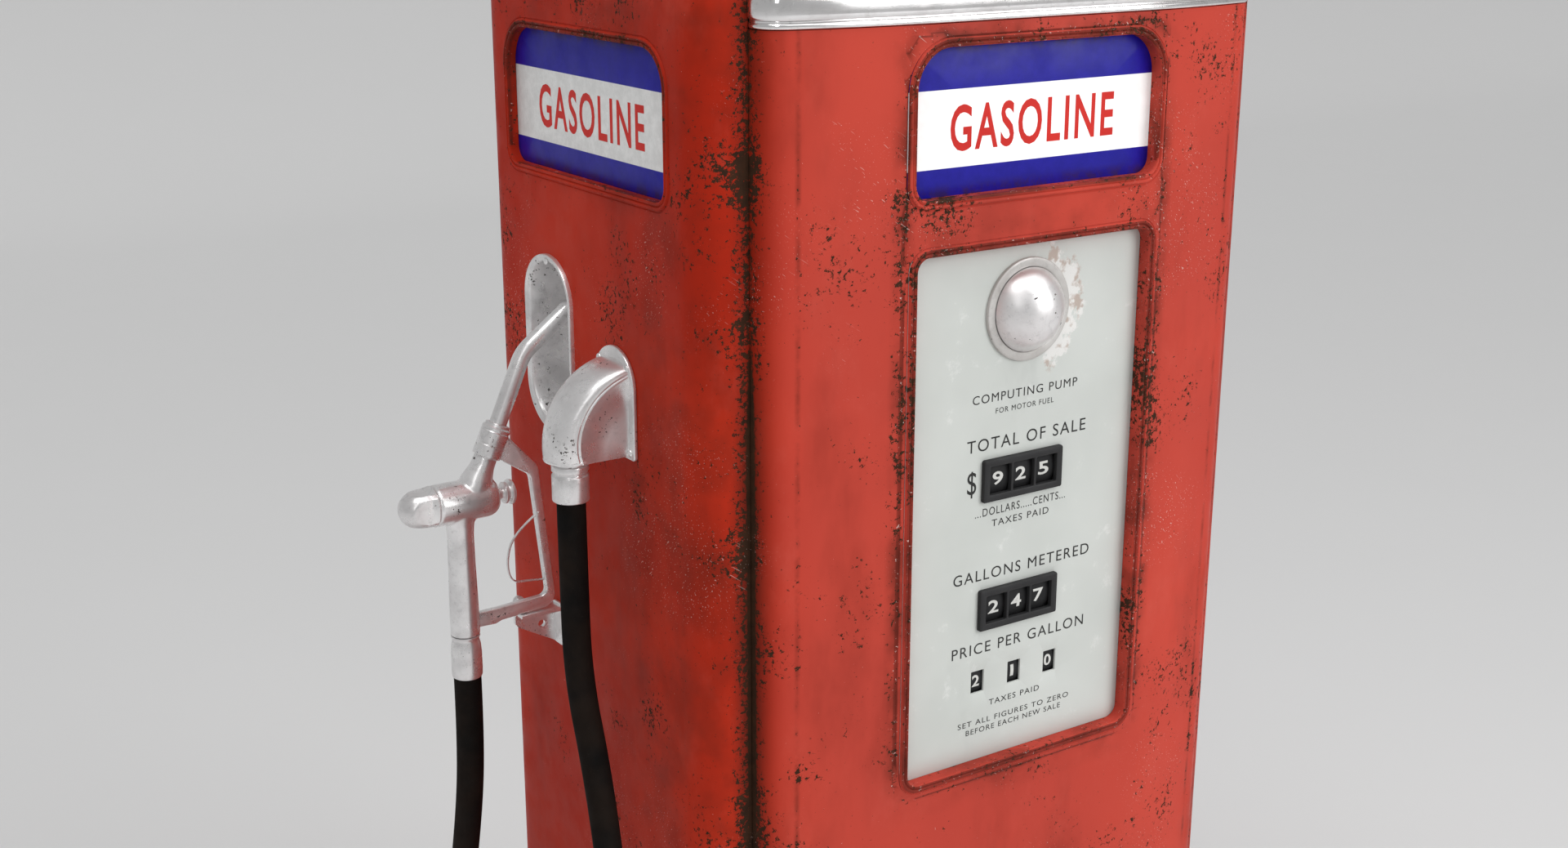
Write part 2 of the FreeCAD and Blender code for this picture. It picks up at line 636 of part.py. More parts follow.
def make_elbow():
    """Cast hood: an arch-topped wall flange and a snout that turns down to the coupling."""
    half = ELBOW_W / 2
    flange = plate("x", OUTLET_Y, half, *ELBOW_Z, 4, half - 0.1, WALL_X - 4, WALL_X)
    low_z = COUPLING_Z[1]
    hinge_x = WALL_X - 1
    at_wall = (6.0, ELBOW_Z[1] - 9 - low_z, half - 7)
    reach = hinge_x - OUTLET_X
    at_end = (reach - SNOUT_HALF, reach + SNOUT_HALF, SNOUT_HALF)
    sections = []
    steps = 5
    for i in range(steps + 1):
        near, far, across = [a + (b - a) * i / steps for a, b in zip(at_wall, at_end)]
        turn = math.radians(90 * i / steps)
        along = V(-math.sin(turn), 0, math.cos(turn))
        centre = V(hinge_x, OUTLET_Y, low_z) + along * ((near + far) / 2)
        sections.append(ellipse_wire(centre, V(0, 1, 0), along, across, (far - near) / 2))
    return fuse(flange, Part.makeLoft(sections, True))


def make_coupling():
    low, high = COUPLING_Z
    axis = (OUTLET_X, OUTLET_Y)
    body = rod((*axis, low), (*axis, high), COUPLING_R)
    groove = tube((*axis, high - 10), (*axis, high - 7.5), COUPLING_R + 1, COUPLING_R - 1.4)
    return body.cut(groove)


def tangent_path(points):
    """Straight runs joined by tangent arcs, each as large as its two runs allow."""
    points = [V(*p) for p in points]
    edges, radii = [], []
    here = points[0]
    for before, corner, after in zip(points, points[1:], points[2:]):
        one, two = before - corner, after - corner
        shorter = min(one.Length, two.Length)
        one.normalize()
        two.normalize()
        turn = math.pi - one.getAngle(two)
        setback = 0.45 * shorter
        radius = setback / math.tan(turn / 2)
        start, end = corner + one * setback, corner + two * setback
        inward = one + two
        inward.normalize()
        middle = corner + inward * (radius / math.cos(turn / 2) - radius)
        edges.append(Part.LineSegment(here, start).toShape())
        edges.append(Part.Arc(start, middle, end).toShape())
        radii.append(radius)
        here = end
    edges.append(Part.LineSegment(here, points[-1]).toShape())
    return Part.Wire(edges), radii


def make_hose():
    path, radii = tangent_path(HOSE_ROUTE)
    first = V(*HOSE_ROUTE[1]) - V(*HOSE_ROUTE[0])
    section = Part.Wire(Part.Circle(V(*HOSE_ROUTE[0]), first, HOSE_R).toShape())
    hose = path.makePipeShell([section], True, True)
    print("hose radii", [round(r) for r in radii], "length", round(path.Length))
    print("hose volume over section times length",
          round(hose.Volume / (math.pi * HOSE_R ** 2 * path.Length), 4))
    return hose


# ---- nozzle boot, hook and right side fittings ----
def make_boot():
    flange = stadium(BOOT_HALF, *BOOT_Z, WALL_X - FLANGE_T, WALL_X)
    cup = stadium(CUP_HALF + BOOT_T, CUP_Z[0] - BOOT_T, CUP_Z[1] + BOOT_T, WALL_X - 1,
                  WALL_X + BOOT_DEPTH + BOOT_T)
    bead = stadium(BOOT_HALF, *BOOT_Z, WALL_X - FLANGE_T - 1.5, WALL_X - FLANGE_T + 0.5).cut(
        stadium(BOOT_HALF - 3, BOOT_Z[0] + 3, BOOT_Z[1] - 3, WALL_X - 9, WALL_X))
    room = stadium(CUP_HALF, *CUP_Z, WALL_X - 9, WALL_X + BOOT_DEPTH)
    return fuse(flange, cup, bead).cut(room)


def make_screws():
    """Round-head screws of the boot flange and of the elbow flange."""
    spots = [(NOZZLE_Y, BOOT_Z[0] + 9, WALL_X - FLANGE_T), (NOZZLE_Y, BOOT_Z[1] - 9, WALL_X - FLANGE_T)]
    for dy, z in ((-26, ELBOW_Z[0] + 6), (26, ELBOW_Z[0] + 6), (-23, 1067), (23, 1067)):
        spots.append((OUTLET_Y + dy, z, WALL_X - 4))
    screws = []
    for y, z, face in spots:
        ball = Part.makeSphere(4.5, V(face + 2.4, y, z))
        head = ball.common(box(face - 6, face, y - 6, y + 6, z - 6, z + 6))
        screws.append(head)
    return screws


def make_hook():
    """Wall bracket: a flat arm under the nozzle guard, a gusset with a padlock hole, and a pin."""
    tip = WALL_X - 41.5
    wall = WALL_X - 2.5
    arm = box(tip, wall, HOOK_Y - 9, HOOK_Y + 9, HOOK_TOP - 4, HOOK_TOP)
    gusset = polygon([(tip, HOOK_Y + 5, HOOK_TOP - 2), (wall, HOOK_Y + 5, HOOK_TOP - 2),
                      (wall, HOOK_Y + 5, HOOK_TOP - 37), (tip, HOOK_Y + 5, HOOK_TOP - 15)], (0, 4, 0))
    foot = box(wall - 0.5, WALL_X, HOOK_Y - 12, HOOK_Y + 12, HOOK_TOP - 46, HOOK_TOP + 4)
    hook = fuse(arm, gusset, foot)
    hole_x, pin_x, pin_z = WALL_X - 16, WALL_X - 35.5, HOOK_TOP + 6.5
    hook = hook.cut(rod((hole_x, HOOK_Y, 800), (hole_x, HOOK_Y + 12, 800), 3.5))
    pin = fuse(rod((pin_x, HOOK_Y + 14, pin_z), (pin_x, HOOK_Y + 9.2, pin_z), 5),
               rod((pin_x, HOOK_Y + 9.2, pin_z), (pin_x, HOOK_Y + 13, pin_z), 3))
    lug = box(pin_x - 5, pin_x + 5, HOOK_Y + 5, HOOK_Y + 9, HOOK_TOP - 4, HOOK_TOP + 11)
    return [fuse(hook, lug, pin)]


def make_side_plates():
    plates = []
    for y, z in (CRANK_AT, SWITCH_AT):
        disc = rod((SIDE_X, y, z), (SIDE_X + 4, y, z), 26)
        collar = rod((SIDE_X - 16, y, z), (SIDE_X + 9, y, z), 11.5)
        bore = rod((SIDE_X - 20, y, z), (SIDE_X + 10, y, z), 7 + RUNNING)
        plates.append(fuse(disc, collar).cut(bore))
    return plates


def make_crank():
    y, z = CRANK_AT
    face = SIDE_X + 9 + FIT
    shaft = rod((SIDE_X - 24, y, z), (face + 10, y, z), 7)
    hub = rod((face, y, z), (face + 14, y, z), 13)
    arm = box(face + 3, face + 9, y - 9, y + 9, z - 62, z)
    knob_end = rod((face + 3, y, z - 62), (face + 9, y, z - 62), 9)
    knob = rod((face + 8, y, z - 62), (face + 40, y, z - 62), 8)
    return fuse(shaft, hub, arm, knob_end, knob)


def make_switch():
    y, z = SWITCH_AT
    face = SIDE_X + 9 + FIT
    shaft = rod((SIDE_X - 24, y, z), (face + 6, y, z), 7)
    hub = rod((face, y, z), (face + 12, y, z), 12)
    blade = box(face + 2, face + 9, y - 7, y + 7, z - 70, z)
    tip = rod((face + 2, y, z - 70), (face + 9, y, z - 70), 7)
    return fuse(shaft, hub, blade, tip)


# ---- nozzle ----
def at(p, y=NOZZLE_Y):
    return (p[0], y, p[1])


def make_nozzle_body():
    """Valve barrel, handle tube and the slanting neck, cast in one."""
    barrel = rod((BARREL_X[0], NOZZLE_Y, VALVE_Z), (BARREL_X[1], NOZZLE_Y, VALVE_Z), VALVE_R)
    end = [e for e in barrel.Edges if len(e.Vertexes) == 1 and e.Vertexes[0].X > BARREL_X[1] - 5]
    barrel = barrel.makeFillet(9, end)
    handle = Part.makeCone(*HANDLE_R, VALVE_Z - 10 - FERRULE_Z[1],
                           V(HANDLE_X, NOZZLE_Y, FERRULE_Z[1]), V(0, 0, 1))
    along = V(*at(COLLAR_END)) - V(*at(COLLAR_START))
    along.normalize()
    neck = rod(tuple(V(*at(COLLAR_START)) - along * 27), at(COLLAR_START), 10.0)
    body = fuse(barrel, handle, neck)
    bore = rod((WALL_X - 79.5, NOZZLE_Y, VALVE_Z), (WALL_X - 53.5, NOZZLE_Y, VALVE_Z), STEM_R + RUNNING)
    return body.cut(bore)


def make_nozzle_cap():
    """Domed end cap with four wrench flats."""
    cap = rod((CAP_END, NOZZLE_Y, VALVE_Z), (BARREL_X[0], NOZZLE_Y, VALVE_Z), VALVE_R)
    end = [e for e in cap.Edges if len(e.Vertexes) == 1 and e.Vertexes[0].X < CAP_END + 3]
    cap = cap.makeFillet(VALVE_R - 0.5, end)
    half = 15.5
    flats = box(CAP_END - 16, BARREL_X[0] - 4.3, NOZZLE_Y - half, NOZZLE_Y + half, VALVE_Z - half, VALVE_Z + half)
    ring = rod((BARREL_X[0] - 5.3, NOZZLE_Y, VALVE_Z), (BARREL_X[0], NOZZLE_Y, VALVE_Z), VALVE_R)
    return fuse(cap.common(flats), ring)


def make_collar():
    along = V(*at(COLLAR_END)) - V(*at(COLLAR_START))
    along.normalize()
    start, end = V(*at(COLLAR_START)), V(*at(COLLAR_END))
    sleeve = rod(start, end, COLLAR_R)
    nose = rod(end - along * 1, end + along * 3, 11.0)
    return fuse(sleeve, nose).cut(rod(end - along * 4, end + along * 4, SPOUT_R + RUNNING))


def make_spout():
    along = V(*at(COLLAR_END)) - V(*at(COLLAR_START))
    along.normalize()
    start = V(*at(COLLAR_END)) - along * 4
    path, radii = tangent_path([tuple(start), at(SPOUT_BEND), at(SPOUT_TIP)])
    shells = []
    for radius in (SPOUT_R, SPOUT_R - 1.5):
        section = Part.Wire(Part.Circle(start, along, radius).toShape())
        shells.append(path.makePipeShell([section], True, True))
    return shells[0].cut(shells[1])


def bar_path(points, radius):
    """Wire of straight runs with rounded corners of a fixed radius, in the nozzle's plane."""
    points = [V(*at(p)) for p in points]
    edges = []
    here = points[0]
    for before, corner, after in zip(points, points[1:], points[2:]):
        one, two = before - corner, after - corner
        one.normalize()
        two.normalize()
        turn = math.pi - one.getAngle(two)
        setback = radius * math.tan(turn / 2)
        inward = one + two
        inward.normalize()
        middle = corner + inward * (radius / math.cos(turn / 2) - radius)
        edges.append(Part.LineSegment(here, corner + one * setback).toShape())
        edges.append(Part.Arc(corner + one * setback, middle, corner + two * setback).toShape())
        here = corner + two * setback
    edges.append(Part.LineSegment(here, points[-1]).toShape())
    return edges


def strip(edges, thick, wide):
    """A flat strip that follows edges in the nozzle's plane."""
    wire = Part.Wire(edges)
    start = edges[0].Vertexes[0].Point
    tangent = edges[0].tangentAt(edges[0].FirstParameter)
    normal = tangent.cross(V(0, 1, 0))
    corners = []
    for a, b in ((-1, -1), (1, -1), (1, 1), (-1, 1)):
        corners.append(start + normal * (a * thick / 2) + V(0, b * wide / 2, 0))
    section = Part.makePolygon(corners + corners[:1])
    return wire.makePipeShell([section], True, True)


def make_guard():
    """Guard plate: a wide root on the collar, a thin bar down past the fingers, a deeper foot."""
    outline = {"root_out": (WALL_X - 47.5, 984.0), "bend_out": (WALL_X - 25.0, 950.0),
               "corner_out": (WALL_X - 6.1, 820.5), "foot_low": (WALL_X - 82.5, 815.5),
               "foot_high": (WALL_X - 82.5, 828.5), "corner_in": (WALL_X - 14.1, 831.0),
               "bend_in": (WALL_X - 29.8, 946.3), "root_in": (WALL_X - 58.5, 962.0)}
    plate_edge = NOZZLE_Y - GUARD_W / 2
    bar = polygon([at(p, plate_edge) for p in outline.values()], (0, GUARD_W, 0))
    for name, radius in (("corner_out", 10), ("corner_in", 5), ("bend_out", 9), ("bend_in", 6)):
        x, z = outline[name]
        edges = [e for e in bar.Edges if abs(e.Vertexes[0].X - x) < 0.01 and abs(e.Vertexes[1].X - x) < 0.01
                 and abs(e.Vertexes[0].Z - z) < 0.01 and abs(e.Vertexes[1].Z - z) < 0.01]
        bar = bar.makeFillet(radius, edges)
    bar = bar.cut(rod(at(COLLAR_START), at(COLLAR_END), COLLAR_R + RUNNING))
    bar = bar.cut(rod((HANDLE_X, NOZZLE_Y, 700), (HANDLE_X, NOZZLE_Y, 930), HANDLE_R[0] + RUNNING))
    pin_x, pin_z = TRIGGER_PIN
    slot_half = TRIGGER_W / 2 + FIT
    bar = bar.cut(box(pin_x - 12, pin_x + 12, NOZZLE_Y - slot_half, NOZZLE_Y + slot_half,
                      pin_z - 7, pin_z + TRIGGER_EYE_R + FIT))
    return bar.cut(trigger_axis(GUARD_W, TRIGGER_PIN_R))


def trigger_axis(length, radius):
    pin_x, pin_z = TRIGGER_PIN
    return rod((pin_x, NOZZLE_Y - length / 2, pin_z), (pin_x, NOZZLE_Y + length / 2, pin_z), radius)


TRIGGER_BEND = [(WALL_X - 49.5, 872.0), (WALL_X - 47.5, 852.5), (WALL_X - 16.9, 845.5)]


def make_trigger():
    """Thin curved lever inside the guard, hung from an eye on its pin."""
    blade = strip(bar_path([TRIGGER_PIN] + TRIGGER_BEND, 9.0), TRIGGER_T, TRIGGER_W)
    eye = trigger_axis(TRIGGER_W, TRIGGER_EYE_R)
    return fuse(blade, eye).cut(trigger_axis(GUARD_W * 2, TRIGGER_PIN_R + RUNNING))


def make_stem():
    """Valve stem with its spool-shaped head."""
    def turning(start, end, radius):
        return rod((WALL_X - start, NOZZLE_Y, VALVE_Z), (WALL_X - end, NOZZLE_Y, VALVE_Z), radius)
    inner, waist, outer = turning(52.4, 49.5, 9.5), turning(50.0, 46.5, 8), turning(47.0, 44.1, 11)
    return fuse(turning(70.5, 43.5, STEM_R), inner, waist, outer, turning(44.5, 41.3, 5))


def make_ferrule():
    low, high = FERRULE_Z
    axis = (HANDLE_X, NOZZLE_Y)
    body = rod((*axis, low), (*axis, high), 13.5)
    return body.makeFillet(2.5, [e for e in body.Edges if len(e.Vertexes) == 1])


# ---- top fittings ----
def make_globe_collar():
    ring = tube((0, 0, CROWN_Z), (0, 0, COLLAR_Z), 80.0, 76.0)
    foot = tube((0, 0, CROWN_Z), (0, 0, CROWN_Z + 5), 95.0, 76.0)
    return fuse(ring, foot)


def make_ad_glasses():
    low, high = AD_Z[0] - LIP_W, AD_Z[1] + LIP_W
    front = plate("y", 0, AD_HALF + 6, low, high, 6, 6, -PLATE_Y, -PLATE_Y + GLASS_T)
    inner = SIDE_X - 7.7 - FIT
    side = plate("x", 0, SIDE_AD_HALF + 6, low, high, 6, 6, -inner, -inner + GLASS_T)
    return [front, turned(front), side, turned(side)]


def make_lamps():
    """Two lamp bulbs behind the signs, each in a socket on the frame's cross rail."""
    lamps = []
    for x in (-110.0, 110.0):
        socket = rod((x, 0, 1200), (x, 0, 1232), 15)
        bulb = fuse(Part.makeSphere(26, V(x, 0, 1264)), rod((x, 0, 1232), (x, 0, 1246), 12))
        lamps += [socket, bulb, box(x - 20, x + 20, -POST_Y + ANGLE_T, POST_Y - ANGLE_T, 1198, 1200)]
    return lamps


def build():
    save("base_plinth", make_base())
    save("frame_members", *make_frame())
    save("left_side_panel", make_left_panel())
    save("right_side_panel", make_right_panel())
    door = make_door()
    save("front_door", door)
    save("rear_door", turned(door))
    lower = door_shell(BASE_TOP + SHEET, DOOR_Z - SEAM)
    save("front_lower_panel", lower)
    save("rear_lower_panel", turned(lower))
    save("crown_cap", make_crown())
    save("crown_trims", front_and_rear(make_trim()))
    save("globe_collar", make_globe_collar())
    save("ad_glasses", *make_ad_glasses())
    save("ad_lamps", *make_lamps())
    save("dial_plates", front_and_rear(make_dial_plate()))
    save("sight_domes", front_and_rear(make_dome()), front_and_rear(make_dome_ring()))
    save("counter_bezels", *[front_and_rear(make_bezel(z)) for z in (SALE_Z, GALLONS_Z)])
    save("computer_frame", *make_computer())
    for counter, z, names in (("sale", SALE_Z, ("dollars", "dimes", "cents")),
                              ("gallons", GALLONS_Z, ("tens", "units", "tenths"))):
        for i, digit in enumerate(names):
            wheel = make_wheel((i - 1) * DIGIT_PITCH, WHEEL_Y, z, WHEEL_R, WHEEL_W)
            save(f"front_{counter}_{digit}_wheel", wheel)
            save(f"rear_{counter}_{digit}_wheel", turned(wheel))
    for i, digit in enumerate(("tens", "units", "tenths")):
        wheel = make_wheel((i - 1) * PRICE_PITCH, PRICE_WHEEL_Y, PRICE_Z, PRICE_WHEEL_R, PRICE_WHEEL_W)
        save(f"front_price_{digit}_wheel", wheel)
        save(f"rear_price_{digit}_wheel", turned(wheel))
    save("flow_meter", make_meter())
    save("meter_shaft", make_meter_shaft())
    save("pump_unit", make_pump(), make_tank())
    save("motor", make_motor())
    save("motor_pulley", make_pulley(MOTOR_AXIS, MOTOR_PULLEY_R, 70))
    save("pump_pulley", make_pulley(PUMP_AXIS, PUMP_PULLEY_R, 60))
    save("drive_belt", make_belt())
    save("supply_pipes", *make_pipes())
    save("nozzle_boot", make_boot())
    save("flange_screws", *make_screws())
    save("outlet_elbow", make_elbow())
    save("hose_coupling", make_coupling())
    save("hose", make_hose())
    save("hose_ferrule", make_ferrule())
    save("nozzle_body", make_nozzle_body())
    save("nozzle_cap", make_nozzle_cap())
    save("spout_collar", make_collar())
    save("nozzle_spout", make_spout())
    save("nozzle_guard", make_guard(), trigger_axis(GUARD_W, TRIGGER_PIN_R))
    save("trigger", make_trigger())
    save("valve_stem", make_stem())
    save("hook_bracket", *make_hook())
    save("side_plates", *make_side_plates())
    save("reset_crank", make_crank())
    save("switch_lever", make_switch())


build()
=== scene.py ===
import json
import math

import bmesh
import bpy
from mathutils import Matrix, Vector, geometry


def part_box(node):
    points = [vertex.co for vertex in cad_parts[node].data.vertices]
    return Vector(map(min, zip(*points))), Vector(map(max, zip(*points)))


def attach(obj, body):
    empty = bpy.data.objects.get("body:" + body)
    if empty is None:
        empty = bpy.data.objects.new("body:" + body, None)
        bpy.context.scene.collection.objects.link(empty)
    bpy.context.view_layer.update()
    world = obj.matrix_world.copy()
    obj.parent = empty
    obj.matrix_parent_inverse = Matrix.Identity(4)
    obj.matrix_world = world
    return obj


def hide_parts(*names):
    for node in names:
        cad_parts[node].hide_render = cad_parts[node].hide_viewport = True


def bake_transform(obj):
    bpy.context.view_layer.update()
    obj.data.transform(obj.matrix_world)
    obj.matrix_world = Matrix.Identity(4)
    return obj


# Looks of a two-sided computing fuel pump. Metres, +Z up; the front face looks along -Y and the
# hose and nozzle hang on the -X side.

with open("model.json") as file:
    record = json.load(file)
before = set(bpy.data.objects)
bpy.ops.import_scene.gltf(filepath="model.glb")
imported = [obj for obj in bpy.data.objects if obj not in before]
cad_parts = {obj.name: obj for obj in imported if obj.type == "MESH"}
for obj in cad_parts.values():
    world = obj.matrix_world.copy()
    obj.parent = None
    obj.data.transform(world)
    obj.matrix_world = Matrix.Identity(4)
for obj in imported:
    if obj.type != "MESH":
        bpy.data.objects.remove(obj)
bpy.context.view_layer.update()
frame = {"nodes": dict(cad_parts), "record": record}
NODES = frame["nodes"]
MM = 0.001


def low(node):
    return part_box(node)[0]


def high(node):
    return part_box(node)[1]


# ---- camera ----
def make_camera():
    data = bpy.data.cameras.new("camera")
    data.sensor_width = 36.0
    data.lens = 43.88
    data.clip_end = 60.0
    camera = bpy.data.objects.new("camera", data)
    camera.location = (-1.0005, -1.3685, 1.464)
    camera.rotation_euler = (math.radians(73.26), 0.0, math.radians(-33.6))
    bpy.context.scene.collection.objects.link(camera)
    bpy.context.scene.camera = camera


make_camera()


# ---- mesh helpers ----
WELD = 1e-6


def finish_mesh(name, made, sharp=35.0):
    """Welds a mesh, turns its faces outward and shows it."""
    bmesh.ops.remove_doubles(made, verts=made.verts, dist=WELD)
    bmesh.ops.recalc_face_normals(made, faces=made.faces)
    return show(name, as_mesh(name, made), sharp)


def show(name, mesh, sharp=35.0):
    """A smooth-shaded object with its sharp edges kept."""
    mesh.polygons.foreach_set("use_smooth", [True] * len(mesh.polygons))
    mesh.set_sharp_from_angle(angle=math.radians(sharp))
    return as_object(name, mesh)


def add_loft(made, rings, loop=False, caps=(True, True)):
    """Joins neighbouring rings of points with quads, and closes the ends."""
    rows = [[made.verts.new(p) for p in ring] for ring in rings]
    pairs = list(zip(rows, rows[1:]))
    if loop:
        pairs.append((rows[-1], rows[0]))
    for one, two in pairs:
        count = len(one)
        for i in range(count):
            j = (i + 1) % count
            made.faces.new((one[i], one[j], two[j], two[i]))
    if caps[0] and not loop:
        made.faces.new(rows[0][::-1])
    if caps[1] and not loop:
        made.faces.new(rows[-1])


def loft(name, rings, loop=False, caps=(True, True), sharp=35.0):
    made = bmesh.new()
    add_loft(made, rings, loop, caps)
    return finish_mesh(name, made, sharp)


def ring_at(centre, one, two, radius, sides):
    """A circle of points round centre, in the plane of the directions one and two."""
    angles = [2 * math.pi * i / sides for i in range(sides)]
    return [centre + (one * math.cos(angle) + two * math.sin(angle)) * radius for angle in angles]


def side_axes(axis):
    """A direction made one unit long, and two directions square to it."""
    axis = Vector(axis).normalized()
    first = axis.orthogonal().normalized()
    return axis, first, axis.cross(first)


def turned_rings(profile, origin, axis, sides=64):
    """Rings of a turned piece: profile is (distance along the axis, radius), in mm."""
    axis, one, two = side_axes(axis)
    origin = Vector(origin)
    return [ring_at(origin + axis * (along * MM), one, two, radius * MM, sides) for along, radius in profile]


def lathe(name, profile, origin, axis, sides=64, sharp=35.0, loop=False):
    """A turned piece. With loop, its profile is closed, so it has a bore."""
    return loft(name, turned_rings(profile, origin, axis, sides), loop, sharp=sharp)


def tangents(path):
    last = len(path) - 1
    return [(path[min(i + 1, last)] - path[max(i - 1, 0)]).normalized() for i in range(len(path))]


def sweep_frames(path):
    """Two side directions at each point of a path, turning as little as possible."""
    directions = tangents(path)
    side = directions[0].orthogonal().normalized()
    frames = []
    for ahead in directions:
        side = (side - ahead * side.dot(ahead)).normalized()
        frames.append((side, ahead.cross(side)))
    return frames


def tube_rings(path, radius, sides):
    """Rings of a round tube along a path."""
    return [ring_at(point, one, two, radius, sides) for point, (one, two) in zip(path, sweep_frames(path))]


def rounded_box(half, bottom, top, r_low, r_high, steps=10):
    """Outline of a rounded rectangle as (across, up) points, anticlockwise from the lower right."""
    corners = [(half - r_low, bottom + r_low, r_low, -90), (half - r_high, top - r_high, r_high, 0),
               (r_high - half, top - r_high, r_high, 90), (r_low - half, bottom + r_low, r_low, 180)]
    outline = []
    for across, up, radius, start in corners:
        for i in range(steps + 1):
            angle = math.radians(start + 90 * i / steps)
            outline.append((across + radius * math.cos(angle), up + radius * math.sin(angle)))
    return outline


def slab(name, outline, lift, thickness, bevel, to_space):
    """A flat plate from an outline, with rounded edges. lift and thickness are along its normal."""
    made = bmesh.new()
    verts = [made.verts.new(to_space(a, b, lift)) for a, b in outline]
    face = made.faces.new(verts)
    grown = bmesh.ops.extrude_face_region(made, geom=[face])
    shift = Vector(to_space(*outline[0], lift + thickness)) - Vector(to_space(*outline[0], lift))
    moved = [v for v in grown["geom"] if isinstance(v, bmesh.types.BMVert)]
    bmesh.ops.translate(made, verts=moved, vec=shift)
    normal = shift.normalized()
    rims = [e for e in made.edges if abs((e.verts[0].co - e.verts[1].co).normalized().dot(normal)) < 0.5]
    bmesh.ops.bevel(made, geom=rims, offset=bevel, segments=3, profile=0.5, affect="EDGES")
    return finish_mesh(name, made)


def front_space(a, b, depth):
    """Across and up on the front face, with depth measured from the middle of the cabinet."""
    return Vector((a, -depth, b))


def left_space(a, b, depth):
    """Along Y and up on the left side, with depth measured from the middle of the cabinet."""
    return Vector((-depth, a, b))


def right_space(a, b, depth):
    """Along Y and up on the right side, with depth measured from the middle of the cabinet."""
    return Vector((depth, a, b))


def nozzle_space(a, b, depth):
    """Along X and up in the plane of the nozzle, with depth along Y."""
    return Vector((a, depth, b))


def level_space(a, b, height):
    """Along X and Y on a level plane at a height."""
    return Vector((a, b, height))


def inside(outline, point):
    """Whether a point (across, up) is inside an outline."""
    across, up = point
    found = False
    for (x0, y0), (x1, y1) in zip(outline, outline[1:] + outline[:1]):
        if (y0 > up) != (y1 > up) and across < x0 + (up - y0) * (x1 - x0) / (y1 - y0):
            found = not found
    return found


def near(outline, point, reach):
    """Whether a point (across, up) is nearer to an outline than reach."""
    for (x0, y0), (x1, y1) in zip(outline, outline[1:] + outline[:1]):
        dx, dy = x1 - x0, y1 - y0
        share = ((point[0] - x0) * dx + (point[1] - y0) * dy) / max(dx * dx + dy * dy, 1e-12)
        share = min(max(share, 0.0), 1.0)
        if math.hypot(point[0] - x0 - share * dx, point[1] - y0 - share * dy) < reach:
            return True
    return False


def fill(made, outer, holes, columns, rows, to_space):
    """A sheet inside outer and outside the holes, with a lattice of columns and rows in it."""
    points = []
    edges = []
    gap = 0.3 * min(abs(columns[1] - columns[0]), abs(rows[1] - rows[0]))
    for outline in [outer] + holes:
        first = len(points)
        points += outline
        edges += [(first + i, first + (i + 1) % len(outline)) for i in range(len(outline))]
    for across in columns:
        for up in rows:
            spot = (across, up)
            if not inside(outer, spot) or any(inside(hole, spot) for hole in holes):
                continue
            if not any(near(outline, spot, gap) for outline in [outer] + holes):
                points.append(spot)
    flat = [Vector(p) for p in points]
    verts, _, faces, _, _, _ = geometry.delaunay_2d_cdt(flat, edges, [], 0, 1e-7)
    placed = [made.verts.new(to_space(v.x, v.y)) for v in verts]
    for face in faces:
        centre = sum((verts[i] for i in face), Vector((0, 0))) / len(face)
        if inside(outer, centre) and not any(inside(hole, centre) for hole in holes):
            made.faces.new([placed[i] for i in face])


def lattice_edge(across_lines, up_lines):
    """The outline of a lattice, anticlockwise from its lower left, with a point at each line's end."""
    outline = [(a, up_lines[0]) for a in across_lines[:-1]]
    outline += [(across_lines[-1], b) for b in up_lines[:-1]]
    outline += [(a, up_lines[-1]) for a in across_lines[:0:-1]]
    return outline + [(across_lines[0], b) for b in up_lines[:0:-1]]


def add_strip(made, one, two):
    """Quads between two rows of points, each with points of its own. A quad with no width is left out."""
    for i in range(len(one) - 1):
        if (two[i + 1] - two[i]).length > 1e-6:
            made.faces.new([made.verts.new(p) for p in (one[i], one[i + 1], two[i + 1], two[i])])


def spread(start, end, step):
    """Evenly spaced values from start to end, about a step apart."""
    count = max(1, round(abs(end - start) / step))
    return [start + (end - start) * i / count for i in range(count + 1)]


def turned_copy(piece, name):
    """The same piece on the rear face."""
    mesh = piece.data.copy()
    mesh.transform(Matrix.Rotation(math.pi, 4, "Z"))
    return as_object(name, mesh)


def as_mesh(name, made):
    mesh = bpy.data.meshes.new(name)
    made.to_mesh(mesh)
    made.free()
    return mesh


def as_object(name, mesh):
    piece = bpy.data.objects.new(name, mesh)
    bpy.context.scene.collection.objects.link(piece)
    return piece


def take_mesh(made, mesh):
    """Adds a mesh to the one that is being made, and removes it."""
    made.from_mesh(mesh)
    bpy.data.meshes.remove(mesh)


def joined(name, pieces):
    """One object from several."""
    made = bmesh.new()
    for piece in pieces:
        mesh = piece.data
        bpy.data.objects.remove(piece)
        take_mesh(made, mesh)
    return as_object(name, as_mesh(name, made))


def applied(piece, *modifiers):
    """Adds modifiers (kind, settings) to a piece and puts their result in its mesh."""
    for kind, settings in modifiers:
        modifier = piece.modifiers.new(kind, kind)
        for key, value in settings.items():
            setattr(modifier, key, value)
    bpy.context.view_layer.update()
    whole = bpy.data.meshes.new_from_object(piece.evaluated_get(bpy.context.evaluated_depsgraph_get()))
    piece.modifiers.clear()
    old = piece.data
    piece.data = whole
    bpy.data.meshes.remove(old)
    return piece


def dress(piece, body, material, slot, *nodes):
    """Gives a piece its material and body, and lets it stand for CAD nodes. Its slot is not used."""
    piece.data.materials.clear()
    piece.data.materials.append(material)
    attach(piece, body)
    if nodes:
        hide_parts(*nodes)


